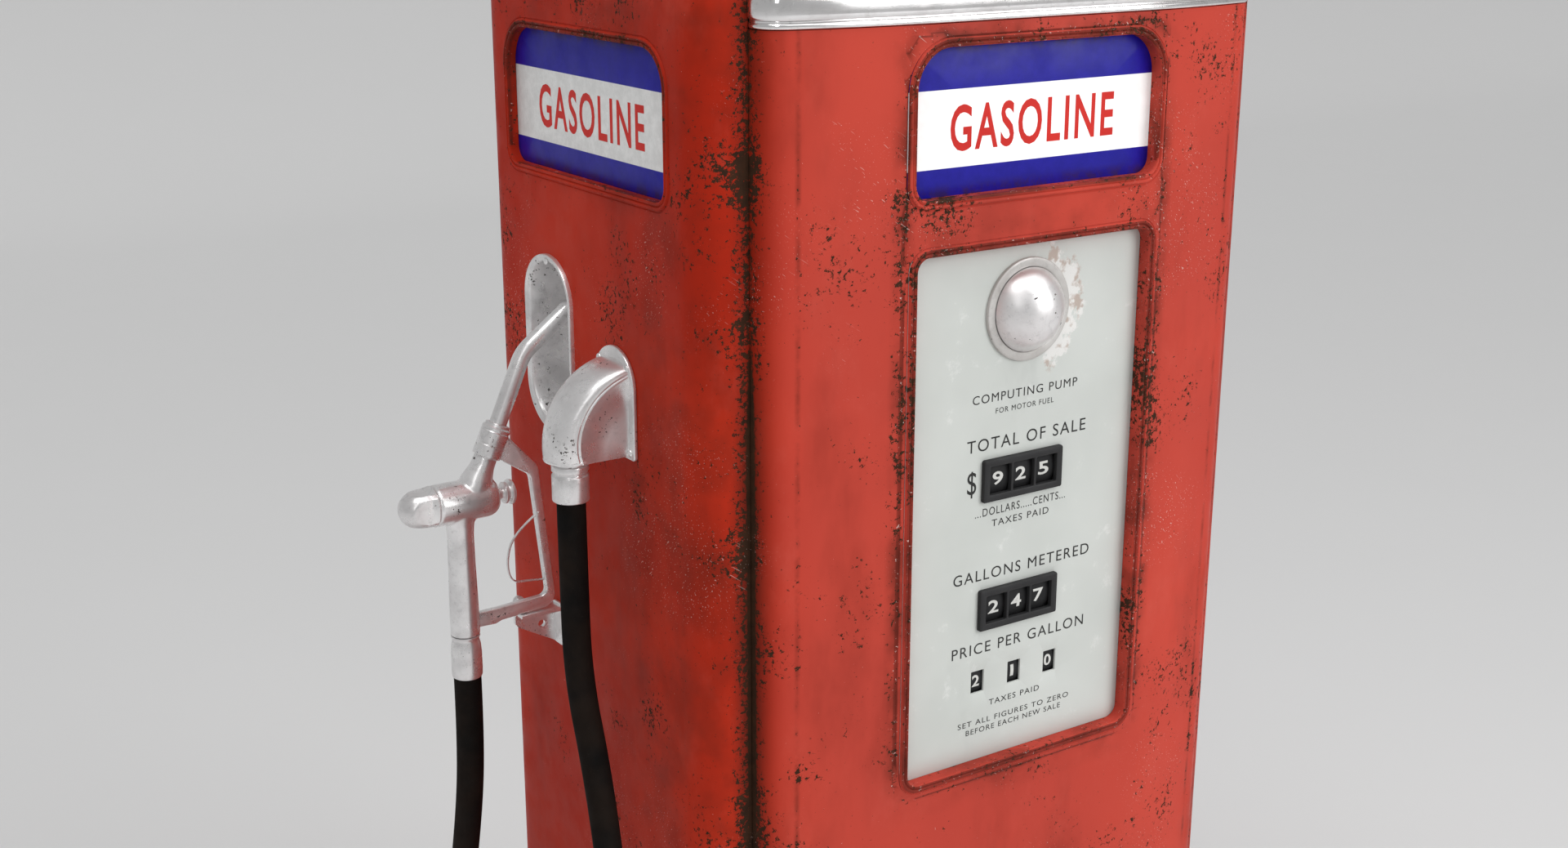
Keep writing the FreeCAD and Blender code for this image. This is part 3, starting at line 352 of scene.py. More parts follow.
def dress_faces(piece, material, slot, node):
    """Dresses a piece of the front face and its copy on the rear. A front node is a body of its own."""
    for side in ("front", "rear"):
        own = node.replace("front", side)
        body = own if own.startswith(side) else "root"
        if side == "rear":
            piece = turned_copy(piece, piece.name.replace("front", "rear"))
        dress(piece, body, material, slot, own)


# ---- materials ----
class Finish:
    """A node material that is being put together. Positions are the object's own, in metres."""

    def __init__(self, name, **sockets):
        self.data = bpy.data.materials.new(name)
        self.data.use_nodes = True
        self.tree = self.data.node_tree
        self.shader = self.tree.nodes["Principled BSDF"]
        self.place = self.node("ShaderNodeTexCoord").outputs["Object"]
        split = self.node("ShaderNodeSeparateXYZ", {"Vector": self.place})
        self.x, self.y, self.z = split.outputs
        for key, value in sockets.items():
            self.shader.inputs[key.replace("_", " ")].default_value = value

    def node(self, kind, inputs=None, **settings):
        made = self.tree.nodes.new(kind)
        for key, value in settings.items():
            setattr(made, key, value)
        for key, value in (inputs or {}).items():
            self.put(made.inputs[key], value)
        return made

    def put(self, socket, value):
        if isinstance(value, bpy.types.NodeSocket):
            self.tree.links.new(value, socket)
        else:
            socket.default_value = value

    def noise(self, scale, detail=3.0, rough=0.55, stretch=None, twist=0.0):
        place = self.place
        if stretch:
            place = self.node("ShaderNodeMapping", {"Vector": place, "Scale": stretch}).outputs[0]
        return self.node("ShaderNodeTexNoise", {"Vector": place, "Scale": scale, "Detail": detail,
                                                "Roughness": rough, "Distortion": twist}).outputs["Fac"]

    def streaks(self, turn):
        """Short hair-thin lines that all run one way."""
        turned = self.node("ShaderNodeMapping", {"Vector": self.place, "Rotation": turn}).outputs[0]
        drawn = self.node("ShaderNodeMapping", {"Vector": turned, "Scale": (900.0, 900.0, 22.0)}).outputs[0]
        lines = self.node("ShaderNodeTexNoise", {"Vector": drawn, "Scale": 1.0, "Detail": 1.0}).outputs["Fac"]
        return self.step(lines, 0.715, 0.745)

    def step(self, value, start, end, low_value=0.0, high_value=1.0):
        """A smooth step of value from start to end."""
        return self.node("ShaderNodeMapRange", {"Value": value, "From Min": start, "From Max": end,
                                                "To Min": low_value, "To Max": high_value},
                         interpolation_type="SMOOTHSTEP").outputs["Result"]

    def math(self, operation, one, two=0.0):
        made = self.node("ShaderNodeMath", operation=operation)
        self.put(made.inputs[0], one)
        self.put(made.inputs[1], two)
        return made.outputs[0]

    def times(self, one, two):
        return self.math("MULTIPLY", one, two)

    def plus(self, one, two):
        return self.math("ADD", one, two)

    def less(self, one, two):
        return self.math("SUBTRACT", one, two)

    def most(self, one, two):
        return self.math("MAXIMUM", one, two)

    def size(self, value):
        return self.math("ABSOLUTE", value)

    def root(self, value):
        return self.math("SQRT", value)

    def mix(self, share, one, two):
        made = self.node("ShaderNodeMix", data_type="RGBA")
        self.put(made.inputs[0], share)
        for socket, value in ((made.inputs[6], one), (made.inputs[7], two)):
            self.put(socket, (*value, 1.0) if isinstance(value, tuple) else value)
        return made.outputs[2]

    def attribute(self, name):
        return self.node("ShaderNodeAttribute", attribute_name=name).outputs["Fac"]

    def band(self, coordinate, centre, reach):
        """1 at centre, falling to 0 at reach to either side. Both signs of the coordinate count."""
        gap = self.size(self.less(self.size(coordinate), centre))
        return self.step(gap, reach, 0.0)

    def bump(self, height, strength, distance, after=None):
        inputs = {"Height": height, "Strength": strength, "Distance": distance}
        if after:
            inputs["Normal"] = after
        return self.node("ShaderNodeBump", inputs).outputs["Normal"]

    def done(self, colour=None, rough=None, normal=None, metallic=None):
        for key, value in (("Base Color", colour), ("Roughness", rough), ("Normal", normal),
                           ("Metallic", metallic)):
            if value is not None:
                self.put(self.shader.inputs[key], value)
        return self.data


# Places that the paint reads: the sign openings and their white band, the dome's ring, the cabinet's
# seams and the door's bends, where a line of shade is painted.
AD_Z = (1.2075, 1.322)
SIGN_BAND = (1.229, 1.289)
DOME_RING = 0.043
SEAM_X = 0.2473
SEAM_Y = 0.189
BEND_X = 0.222


def make_enamel():
    """Old red enamel: patches of tone, a painted sheen that pales the door faces, rust flecks in clusters, a
    rusted seam with a dark band along it, a painted shade line at the door's bends, smudges that are partly
    painted shade, chips and scratches.
    """
    f = Finish("red_enamel", Specular_IOR_Level=0.07)
    patches = f.noise(4.0, 3.0)
    paint = f.mix(f.step(patches, 0.35, 0.7), (0.45, 0.022, 0.007), (0.56, 0.034, 0.012))
    # Painted sheen: the front and rear door faces are mixed towards a pale pink, standing in for reflected
    # light.
    door_face_sheen = f.step(f.size(f.y), 0.196, 0.222, 0.0, 0.26)
    paint = f.mix(door_face_sheen, paint, (0.68, 0.165, 0.135))
    grime = f.step(f.noise(7.0, 5.0, 0.62, (1.0, 1.0, 0.4)), 0.50, 0.76)
    paint = f.mix(f.times(grime, 0.55), paint, (0.17, 0.018, 0.010))
    dusty = f.step(f.noise(17.0, 5.0, 0.7, (1.0, 1.0, 0.6)), 0.52, 0.80)
    paint = f.mix(f.times(dusty, 0.22), paint, (0.66, 0.13, 0.095))
    at_seam = f.times(f.band(f.x, SEAM_X, 0.024), f.band(f.y, SEAM_Y, 0.024))
    core = f.times(f.band(f.x, SEAM_X, 0.0085), f.band(f.y, SEAM_Y, 0.0105))
    lower = f.step(f.z, 1.12, 1.0, 0.55, 1.0)
    # Painted shade: a faint dark line where the door's face bends, standing in for the shading of the bend.
    # Rust flecks gather along it too.
    bend = f.times(f.band(f.x, BEND_X, 0.0035), f.step(f.size(f.y), 0.20, 0.21))
    bend = f.times(bend, f.step(f.noise(30.0, 4.0, 0.7), 0.35, 0.65))
    # The attribute holds wear, and on the side panels' front thirds painted shade as well.
    worn = f.attribute("wear_and_shade")
    clusters = f.noise(11.0, 4.0, 0.62)
    fine = f.noise(230.0, 4.0, 0.74)
    load = f.less(f.times(f.step(clusters, 0.45, 0.70), 0.16), 0.10)
    load = f.plus(load, f.times(at_seam, 0.175))
    load = f.plus(load, f.times(f.most(worn, bend), 0.11))
    rust = f.step(f.plus(fine, load), 0.585, 0.635)
    packed = f.plus(f.times(core, lower), f.times(fine, 0.75))
    rust = f.most(rust, f.step(packed, 0.80, 1.02))
    dark = f.mix(f.noise(90.0, 3.0), (0.016, 0.011, 0.008), (0.075, 0.032, 0.016))
    # Dark smudges: grime where the attribute is high, and painted shade on the side panels' front thirds. A
    # dark band runs along the seam, heavier lower down, and the painted shade line follows the bends.
    smudge_and_shade = f.times(worn, f.step(f.noise(24.0, 3.0), 0.38, 0.7, 0.15, 0.85))
    smudge_and_shade = f.most(smudge_and_shade, f.times(at_seam, f.times(lower, 0.85)))
    smudge_and_shade = f.most(smudge_and_shade, f.times(bend, 0.45))
    paint = f.mix(smudge_and_shade, paint, (0.095, 0.016, 0.009))
    rim = f.step(worn, 0.86, 0.97)
    paint = f.mix(f.times(rim, 0.62), paint, (0.095, 0.016, 0.010))
    chips = f.plus(f.noise(330.0, 3.0, 0.7, twist=0.6), f.step(worn, 0.5, 0.95, 0.0, 0.085))
    chips = f.step(chips, 0.735, 0.755)
    scratch = f.most(f.streaks((0.35, 0.9, 0.5)), f.streaks((-0.8, 0.3, 1.2)))
    scratch = f.times(scratch, f.step(f.noise(6.0, 2.0), 0.54, 0.64))
    bare = f.most(chips, f.times(scratch, 0.8))
    colour = f.mix(rust, paint, dark)
    colour = f.mix(f.times(bare, 0.8), colour, (0.72, 0.50, 0.45))
    rough = f.plus(f.step(f.noise(38.0, 3.0), 0.3, 0.75, 0.36, 0.54), f.times(rust, 0.3))
    peel = f.bump(f.noise(150.0, 2.0), 0.10, 0.0004)
    normal = f.bump(f.less(1.0, rust), 0.35, 0.0003, peel)
    return f.done(colour, rough, normal)


def make_metal(name, light, dark, rough, pits, fleck=300.0, metallic=0.85):
    """Cast or polished metal with a cloudy finish and dark pits in clusters."""
    f = Finish(name, Metallic=metallic)
    clouds = f.noise(30.0, 4.0)
    colour = f.mix(f.step(clouds, 0.35, 0.7), light, dark)
    dull = f.step(f.noise(130.0, 6.0, 0.8), 0.50, 0.72, 0.0, 0.42)
    colour = f.mix(dull, colour, tuple(c * 0.55 for c in dark))
    clusters = f.step(f.noise(38.0, 3.0), 0.45, 0.68, -0.05, 0.11)
    pitted = f.step(f.plus(f.noise(fleck, 3.0, 0.65), clusters), 0.715 - pits, 0.745 - pits)
    colour = f.mix(pitted, colour, (0.10, 0.09, 0.085))
    spread_rough = f.step(f.noise(60.0, 3.0), 0.3, 0.75, rough * 0.85, rough * 1.2)
    full = f.plus(spread_rough, f.times(pitted, 0.3))
    grain = f.bump(f.noise(700.0, 2.0), 0.06, 0.0002)
    normal = f.bump(f.less(1.0, pitted), 0.3, 0.0002, grain)
    return f.done(colour, full, normal)


def make_paint(name, one, two, rough, grain=120.0, fleck=0.0, metallic=0.0, gloss=0.25):
    """Plain painted or machined surface with blotches, dust and a fine texture."""
    f = Finish(name, Metallic=metallic, Specular_IOR_Level=gloss)
    colour = f.mix(f.step(f.noise(18.0, 4.0), 0.35, 0.68), one, two)
    dust = f.step(f.noise(grain * 2.2, 3.0, 0.7), 0.70 - fleck, 0.78 - fleck)
    light = tuple(min(1.0, c * 1.9 + 0.02) for c in two)
    colour = f.mix(f.times(dust, 0.6), colour, light)
    spread_rough = f.step(f.noise(50.0, 3.0), 0.3, 0.75, rough * 0.88, min(1.0, rough * 1.15))
    return f.done(colour, spread_rough, f.bump(f.noise(grain, 3.0), 0.12, 0.0004))


def make_dial():
    """Light grey enamel with pale scuffs, grey smears and a worn patch beside the sight dome."""
    f = Finish("dial_enamel", Specular_IOR_Level=0.4)
    colour = f.mix(f.step(f.noise(9.0, 3.0), 0.3, 0.7), (0.585, 0.61, 0.580), (0.64, 0.665, 0.635))
    scuffs = f.step(f.noise(36.0, 5.0, 0.7), 0.60, 0.74)
    colour = f.mix(f.times(scuffs, 0.55), colour, (0.83, 0.84, 0.82))
    smears = f.step(f.noise(16.0, 4.0, 0.65, (1.0, 1.0, 0.5)), 0.60, 0.78)
    colour = f.mix(f.times(smears, 0.22), colour, (0.36, 0.38, 0.37))
    dome_top = high("sight_domes").z
    beside = f.times(f.x, f.step(f.y, 0.0, -0.001, -1.0, 1.0))
    above = f.less(f.z, dome_top - DOME_RING)
    away = f.root(f.plus(f.times(beside, beside), f.times(above, above)))
    patch = f.times(f.step(away, DOME_RING + 0.026, DOME_RING), f.step(beside, 0.012, 0.034))
    ragged = f.step(f.plus(f.noise(70.0, 4.0, 0.7), f.times(patch, 0.3)), 0.56, 0.66)
    ragged = f.times(ragged, f.step(patch, 0.0, 0.3))
    worn = f.mix(f.step(f.noise(75.0, 4.0), 0.48, 0.6), (0.88, 0.86, 0.84), (0.46, 0.33, 0.27))
    colour = f.mix(f.times(ragged, 0.7), colour, worn)
    rough = f.step(f.noise(28.0, 3.0), 0.3, 0.75, 0.42, 0.62)
    return f.done(colour, rough, f.bump(f.noise(220.0, 2.0), 0.05, 0.0003))


def make_sign_glass():
    """Back-painted glass in three bands; the white band of the front and rear glasses glows as painted light.
    """
    f = Finish("sign_glass", Specular_IOR_Level=0.22, Emission_Color=(1.0, 1.0, 1.0, 1.0))
    bottom, top = SIGN_BAND
    inner = f.times(f.step(f.z, bottom - 0.0002, bottom + 0.0002),
                  f.step(f.z, top + 0.0002, top - 0.0002))
    cloudy = f.noise(90.0, 5.0, 0.75)
    white = f.mix(f.step(cloudy, 0.35, 0.7), (0.80, 0.80, 0.79), (0.93, 0.93, 0.92))
    blue = f.mix(f.step(cloudy, 0.35, 0.7), (0.010, 0.007, 0.30), (0.014, 0.010, 0.36))
    edge = f.most(f.step(f.z, AD_Z[0] + 0.012, AD_Z[0]), f.step(f.z, AD_Z[1] - 0.009, AD_Z[1]))
    soot = f.times(edge, f.step(f.noise(80.0, 4.0, 0.7), 0.42, 0.62))
    colour = f.mix(f.times(soot, 0.6), f.mix(inner, blue, white), (0.05, 0.02, 0.02))
    # Painted light: the white band of the front and rear glasses glows a little, standing in for the light that
    # falls on those faces.
    painted_glow = f.times(inner, f.step(f.size(f.y), 0.19, 0.21, 0.0, 0.26))
    f.put(f.shader.inputs["Emission Strength"], painted_glow)
    rough = f.step(f.noise(30.0, 4.0), 0.35, 0.75, 0.30, 0.48)
    return f.done(colour, rough, f.bump(f.noise(12.0, 2.0), 0.03, 0.001))


def make_floor():
    f = Finish("studio_floor", Roughness=0.9, Specular_IOR_Level=0.0)
    return f.done(f.mix(f.noise(2.0), (0.74, 0.74, 0.74), (0.75, 0.75, 0.75)))


ENAMEL = make_enamel()
CAST = make_metal("cast_aluminium", (0.92, 0.91, 0.91), (0.74, 0.725, 0.725), 0.30, 0.02, 300.0, 0.78)
SHINY = make_metal("polished_metal", (0.86, 0.85, 0.85), (0.70, 0.68, 0.68), 0.24, 0.02, 240.0)
BRIGHT = make_metal("bright_trim", (0.88, 0.87, 0.87), (0.76, 0.74, 0.74), 0.15, -0.03, 420.0, 1.0)
STEEL = make_metal("steel", (0.56, 0.55, 0.54), (0.42, 0.41, 0.40), 0.38, -0.01, 500.0, 1.0)
DIAL = make_dial()
GLASS = make_sign_glass()
COUNTER = make_paint("counter_black", (0.020, 0.020, 0.021), (0.027, 0.027, 0.028), 0.5, 300.0)
WHEEL = make_paint("wheel_black", (0.014, 0.014, 0.015), (0.019, 0.019, 0.020), 0.62, 260.0)
FIGURE = make_paint("figure_white", (0.74, 0.74, 0.71), (0.66, 0.66, 0.63), 0.6, 400.0)
INK = make_paint("label_ink", (0.022, 0.022, 0.022), (0.035, 0.035, 0.034), 0.6, 400.0, 0.02)
SIGN_RED = make_paint("sign_red", (0.70, 0.022, 0.014), (0.62, 0.018, 0.012), 0.45, 300.0)
DOME = make_metal("dome_silver", (0.92, 0.91, 0.91), (0.80, 0.78, 0.78), 0.36, 0.015, 170.0, 0.8)
RING = make_metal("dome_ring", (0.60, 0.585, 0.565), (0.50, 0.48, 0.46), 0.5, 0.0, 260.0, 0.35)
RUBBER = make_paint("hose_rubber", (0.0045, 0.004, 0.0038), (0.014, 0.009, 0.0065), 0.8, 420.0, 0.05,
                    gloss=0.1)
BELT = make_paint("belt_rubber", (0.018, 0.018, 0.018), (0.03, 0.03, 0.03), 0.8, 300.0)
IRON = make_paint("base_iron", (0.075, 0.07, 0.067), (0.11, 0.10, 0.095), 0.6, 90.0, 0.02)
MACHINE = make_paint("machine_iron", (0.12, 0.135, 0.135), (0.16, 0.17, 0.165), 0.5, 110.0, 0.02)
PRIMER = make_paint("frame_steel", (0.16, 0.16, 0.17), (0.21, 0.21, 0.215), 0.55, 100.0)
OPAL = make_paint("lamp_glass", (0.86, 0.84, 0.76), (0.92, 0.90, 0.84), 0.25, 60.0)


# ---- hose ----
# The control points of the hose's route, the same as in the part's source.
HOSE_ROUTE = [
    (-0.3317, -0.0495, 0.958), (-0.3317, -0.0495, 0.882), (-0.3322, -0.053, 0.802),
    (-0.333, -0.083, 0.728), (-0.334, -0.106, 0.640), (-0.3355, -0.128, 0.525),
    (-0.338, -0.160, 0.395), (-0.341, -0.176, 0.275), (-0.346, -0.150, 0.160),
    (-0.353, -0.062, 0.084), (-0.360, 0.052, 0.084), (-0.367, 0.142, 0.155),
    (-0.372, 0.174, 0.265), (-0.376, 0.155, 0.390), (-0.3785, 0.116, 0.515),
    (-0.3793, 0.080, 0.630), (-0.380, 0.0656, 0.705), (-0.380, 0.0656, 0.772),
]
HOSE_RADIUS = 0.012
TUBE_SIDES = 32


def smooth_line(route):
    """Points of the smooth spline whose control points are the route."""
    curve = bpy.data.curves.new("line", "CURVE")
    curve.dimensions = "3D"
    curve.resolution_u = 14
    spline = curve.splines.new("NURBS")
    spline.points.add(len(route) - 1)
    for point, place in zip(spline.points, route):
        point.co = (*place, 1.0)
    spline.order_u = 3
    spline.use_endpoint_u = True
    holder = bpy.data.objects.new("line", curve)
    mesh = bpy.data.meshes.new_from_object(holder)
    points = [v.co.copy() for v in mesh.vertices]
    bpy.data.objects.remove(holder)
    bpy.data.curves.remove(curve)
    bpy.data.meshes.remove(mesh)
    return points


def make_hose():
    line = smooth_line(HOSE_ROUTE)
    hose = loft("rubber_hose", tube_rings(line, HOSE_RADIUS, TUBE_SIDES))
    hose.data.materials.append(RUBBER)
    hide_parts("hose")
    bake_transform(hose)


make_hose()


# ---- cabinet lines in plan ----
class Plan:
    """A line in plan, made of straight runs and turns, with its outward side on the right."""

    def __init__(self, start, heading, pieces):
        """Each piece is (None, length) for a straight run or (radius, degrees) for a turn."""
        self.pieces = []
        place = Vector(start)
        length = 0.0
        for radius, amount in pieces:
            run = amount if radius is None else radius * math.radians(amount)
            self.pieces.append((length, run, place.copy(), heading, radius))
            place, heading = self.walk(place, heading, radius, run)
            length += run
        self.length = length

    @staticmethod
    def walk(place, heading, radius, run):
        ahead = Vector((math.cos(heading), math.sin(heading)))
        if radius is None:
            return place + ahead * run, heading
        centre = place + Vector((-ahead.y, ahead.x)) * radius
        turned = heading + run / radius
        return centre + Vector((math.sin(turned), -math.cos(turned))) * radius, turned

    def at(self, distance):
        """Point and outward normal at a distance along the line."""
        for start, run, place, heading, radius in self.pieces:
            if distance <= start + run + 1e-9:
                break
        place, heading = self.walk(place, heading, radius, min(max(distance - start, 0.0), run))
        return place, Vector((math.sin(heading), -math.cos(heading)))

    def stations(self, flat_step, turn_step):
        """Distances along the line, closer together where it turns."""
        found = []
        for start, run, _, _, radius in self.pieces:
            if radius is None:
                found += spread(start, start + run, flat_step)[:-1]
            else:
                found += spread(start, start + run, min(flat_step, radius * math.radians(turn_step)))[:-1]
        return found + [self.length]


# A door in plan: half its width, its face, half its flat middle, the radii of its bow and of its
# edges, and where its flanges end.
DOOR_HALF = 0.247
DOOR_Y = 0.229
DOOR_FLAT = 0.100
DOOR_BOW = 0.560
DOOR_EDGE = 0.025
FLANGE_Y = 0.170
# Spacing of the points across a sheet: along its flats and, in degrees, round its bends.
FLAT_STEP = 0.012
BEND_STEP = 8.0
UP_STEP = 0.020
DOOR_LEAN = math.degrees(math.asin((DOOR_HALF - DOOR_EDGE - DOOR_FLAT) / (DOOR_BOW - DOOR_EDGE)))


def door_plan(back):
    """The face of a door in plan, from its left flange to its right. The flanges end at Y = back."""
    edge_x = DOOR_HALF - DOOR_EDGE
    reach = DOOR_BOW - DOOR_EDGE
    edge_y = DOOR_BOW - DOOR_Y - math.sqrt(reach ** 2 - (edge_x - DOOR_FLAT) ** 2)
    flange = (None, back - edge_y)
    edge = (DOOR_EDGE, 90 - DOOR_LEAN)
    bow = (DOOR_BOW, DOOR_LEAN)
    runs = [flange, edge, bow, (None, 2 * DOOR_FLAT), bow, edge, flange]
    return Plan((-DOOR_HALF, back), math.radians(-90), runs)


DOOR_PLAN = door_plan(-FLANGE_Y)


def door_face(distance, up, lift=0.0):
    """A point on the door's face: distance across from its middle, up, and lifted off it."""
    place, normal = DOOR_PLAN.at(distance + DOOR_PLAN.length / 2)
    place = place + normal * lift
    return Vector((place.x, place.y, up))


# ---- doors ----
# The sign and dial openings: half widths, heights and corner radii.
AD_HALF = 0.124
AD_R = (0.013, 0.032)
DIAL_HALF = 0.121
DIAL_Z = (0.716, 1.163)
DIAL_R = 0.011
# The raised field: how far it reaches past the dial opening, how high it stands, the width of the
# step at its edge, and the lattice lines across that step.
FIELD_REACH = 0.012
FIELD_LIFT = 0.0012
FIELD_STEP = 0.0024
FIELD_CUTS = (-0.0012, -0.0004, 0.0004, 0.0012)
# Depths from the middle of the cabinet: the face that lips stand on and how far they start below it,
# the dial plate's face and the gap in front of it. Then the width of a folded edge.
FACE_LIP = 0.2315
LIP_SINK = 0.0015
PLATE_Y = 0.219
PLATE_GAP = 0.0004
FOLD = 0.014
# Section of a rolled double lip: (distance out from the opening, height above the field), in mm.
LIP_SECTION = [(8.5, 0), (7.9, -0.5), (7.3, -0.3), (6.9, 0.5), (6.2, 1.15), (5.4, 1.3), (4.6, 1.15), (4, 0.6),
               (3.6, 0.1), (3.2, 0.4), (2.6, 1), (1.8, 1.3), (1, 1.15), (0.4, 0.6), (0.1, -0.2), (0, -1.5)]
LIP_REACH = LIP_SECTION[0][0] * MM


def opening(half, heights, radii, out):
    """Outline of a sign or dial opening, grown by out. radii are those of its lower and upper corners."""
    return rounded_box(half + out, heights[0] - out, heights[1] + out, radii[0] + out, radii[1] + out)


def add_lip(made, half, heights, radii, to_space, level, wall):
    """The rolled lip round an opening in a face at level, and its wall back to the depth wall."""
    rings = []
    for out, rise in LIP_SECTION:
        outline = opening(half, heights, radii, out * MM)
        rings.append([to_space(a, b, level + rise * MM) for a, b in outline])
    rings.append([to_space(a, b, wall) for a, b in opening(half, heights, radii, 0.0)])
    add_loft(made, rings, caps=(False, False))


def box_distance(half, heights, radius, across, up):
    """Signed distance from a rounded rectangle, below 0 inside."""
    middle = (heights[0] + heights[1]) / 2
    dx = abs(across) - half + radius
    dz = abs(up - middle) - (heights[1] - heights[0]) / 2 + radius
    return math.hypot(max(dx, 0.0), max(dz, 0.0)) + min(max(dx, dz), 0.0) - radius


# The raised field round both openings: half its width, its two heights, and its corner radius.
FIELD = (DIAL_HALF + FIELD_REACH, (DIAL_Z[0] - FIELD_REACH, AD_Z[1] + 0.010), 0.020)


def field_rise(across, up):
    """Height of the raised field round the two openings, with a soft step at its edge."""
    share = min(max((FIELD_STEP / 2 - box_distance(*FIELD, across, up)) / FIELD_STEP, 0.0), 1.0)
    return FIELD_LIFT * share * share * (3 - 2 * share)


LIP_WEAR = 0.95


def set_wear(piece, rule):
    """Stores how worn each point is, from 0 to 1, for the paint to read; on the side panels it also holds
    painted shade.
    """
    layer = piece.data.attributes.new("wear_and_shade", "FLOAT", "POINT")
    layer.data.foreach_set("value", [rule(v.co) for v in piece.data.vertices])


def door_wear(place):
    """Rust round the openings and the field, between the openings, and on the lips."""
    across, up = place.x, place.z
    gap = min(abs(box_distance(AD_HALF, AD_Z, AD_R[1], across, up)),
              abs(box_distance(DIAL_HALF, DIAL_Z, DIAL_R, across, up)),
              abs(box_distance(*FIELD, across, up)) + 0.004)
    middle = 1.186
    between = max(0.0, 1.0 - abs(up - middle) / 0.022) if abs(across) < 0.12 else 0.0
    lip = LIP_WEAR if 0.0004 < gap < 0.0068 and abs(abs(place.y) - FACE_LIP) < 0.004 else 0.0
    return max(0.72 * math.exp(-max(gap - 0.004, 0.0) / 0.007), 0.55 * between, lip)


def sheet_edge(bottom, top, across_lines, up_lines):
    """The outline of a door's sheet: its corners, and the lattice lines that end between them."""
    half = DOOR_PLAN.length / 2
    corners = [(-half, bottom), (half, bottom), (half, top), (-half, top)]
    outline = []
    for start, end in zip(corners, corners[1:] + corners[:1]):
        way = 0 if start[1] == end[1] else 1
        first, last = min(start[way], end[way]), max(start[way], end[way])
        stops = [stop for stop in (across_lines, up_lines)[way] if first <= stop < last]
        if start[way] > end[way]:
            stops = [last] + stops[:0:-1]
        outline += [(start[0], stop) if way else (stop, start[1]) for stop in stops]
    return outline


def make_sheet_panel(name, bottom, top, openings, across_lines, up_lines):
    """A door or lower panel: its face with any openings, rolled lips and folded edges."""
    made = bmesh.new()
    holes = [opening(*hole, LIP_REACH) for hole in openings]
    rise = field_rise if openings else (lambda across, up: 0.0)
    fill(made, sheet_edge(bottom, top, across_lines, up_lines), holes, across_lines, up_lines,
         lambda a, b: door_face(a, b, rise(a, b)))
    for hole in openings:
        add_lip(made, *hole, front_space, FACE_LIP - LIP_SINK, PLATE_Y + PLATE_GAP)
    for level in (bottom, top):
        add_strip(made, [door_face(a, level) for a in across_lines],
                  [door_face(a, level, -FOLD) for a in across_lines])
    return finish_mesh(name, made, 30)


def door_lines(bottom, top):
    """Lattice lines of a door, with more where the raised field ends."""
    half = DOOR_PLAN.length / 2
    across = [s - half for s in DOOR_PLAN.stations(FLAT_STEP, BEND_STEP)]
    across += [sign * (FIELD[0] + d) for sign in (-1, 1) for d in FIELD_CUTS]
    up = spread(bottom, top, UP_STEP)
    up += [level + d for level in FIELD[1] for d in FIELD_CUTS if bottom < level + d < top]
    return sorted(set(round(a, 6) for a in across)), sorted(set(round(u, 6) for u in up))


def make_doors():
    bottom, top = low("front_door").z, high("front_door").z
    openings = [(AD_HALF, AD_Z, AD_R), (DIAL_HALF, DIAL_Z, (DIAL_R, DIAL_R))]
    door = make_sheet_panel("front_door_skin", bottom, top, openings, *door_lines(bottom, top))
    set_wear(door, door_wear)
    dress_faces(door, ENAMEL, "red_enamel", "front_door")
    bottom, top = low("front_lower_panel").z, high("front_lower_panel").z
    half = DOOR_PLAN.length / 2
    across = [round(s - half, 6) for s in DOOR_PLAN.stations(FLAT_STEP, BEND_STEP)]
    panel = make_sheet_panel("front_lower_skin", bottom, top, [], across, spread(bottom, top, UP_STEP))
    set_wear(panel, lambda place: max(0.0, 0.5 - (place.z - bottom) / 0.25))
    dress_faces(panel, ENAMEL, "red_enamel", "front_lower_panel")


make_doors()


# ---- side panels ----
# The left panel: its face, its corners' middles and radius, its edges at the seams, its shoulder's
# radius, half the width of its sign opening, its glass, and its flanges at the seams.
SIDE_X = 0.2865
CORNER_Y = 0.188
CORNER_R = 0.038
PANEL_EDGE = 0.2475
SHOULDER_R = 0.034
SIDE_AD_HALF = 0.131
SIDE_GLASS_DEPTH = 0.008
SIDE_GLASS_GAP = 0.0003
SEAM_FLANGE = 0.018
NOZZLE_Y = 0.0656
SIDE_RUN = (None, SIDE_X - CORNER_R - PANEL_EDGE)
SIDE_PLAN = Plan((-PANEL_EDGE, CORNER_Y), math.pi,
                 [SIDE_RUN, (CORNER_R, 90.0), (None, 2 * (CORNER_Y - CORNER_R)), (CORNER_R, 90.0), SIDE_RUN])


def side_face(distance, up, top):
    """A point on the left panel, at a distance along it from the rear seam. Past the start of the
    shoulder, up counts along its round."""
    turn = max(0.0, up - (top - SHOULDER_R)) / SHOULDER_R
    inset = SHOULDER_R * (1 - math.cos(turn))
    level = up if turn == 0.0 else top - SHOULDER_R + SHOULDER_R * math.sin(turn)
    place, normal = SIDE_PLAN.at(distance)
    place = place - normal * inset
    return Vector((place.x, place.y, level))


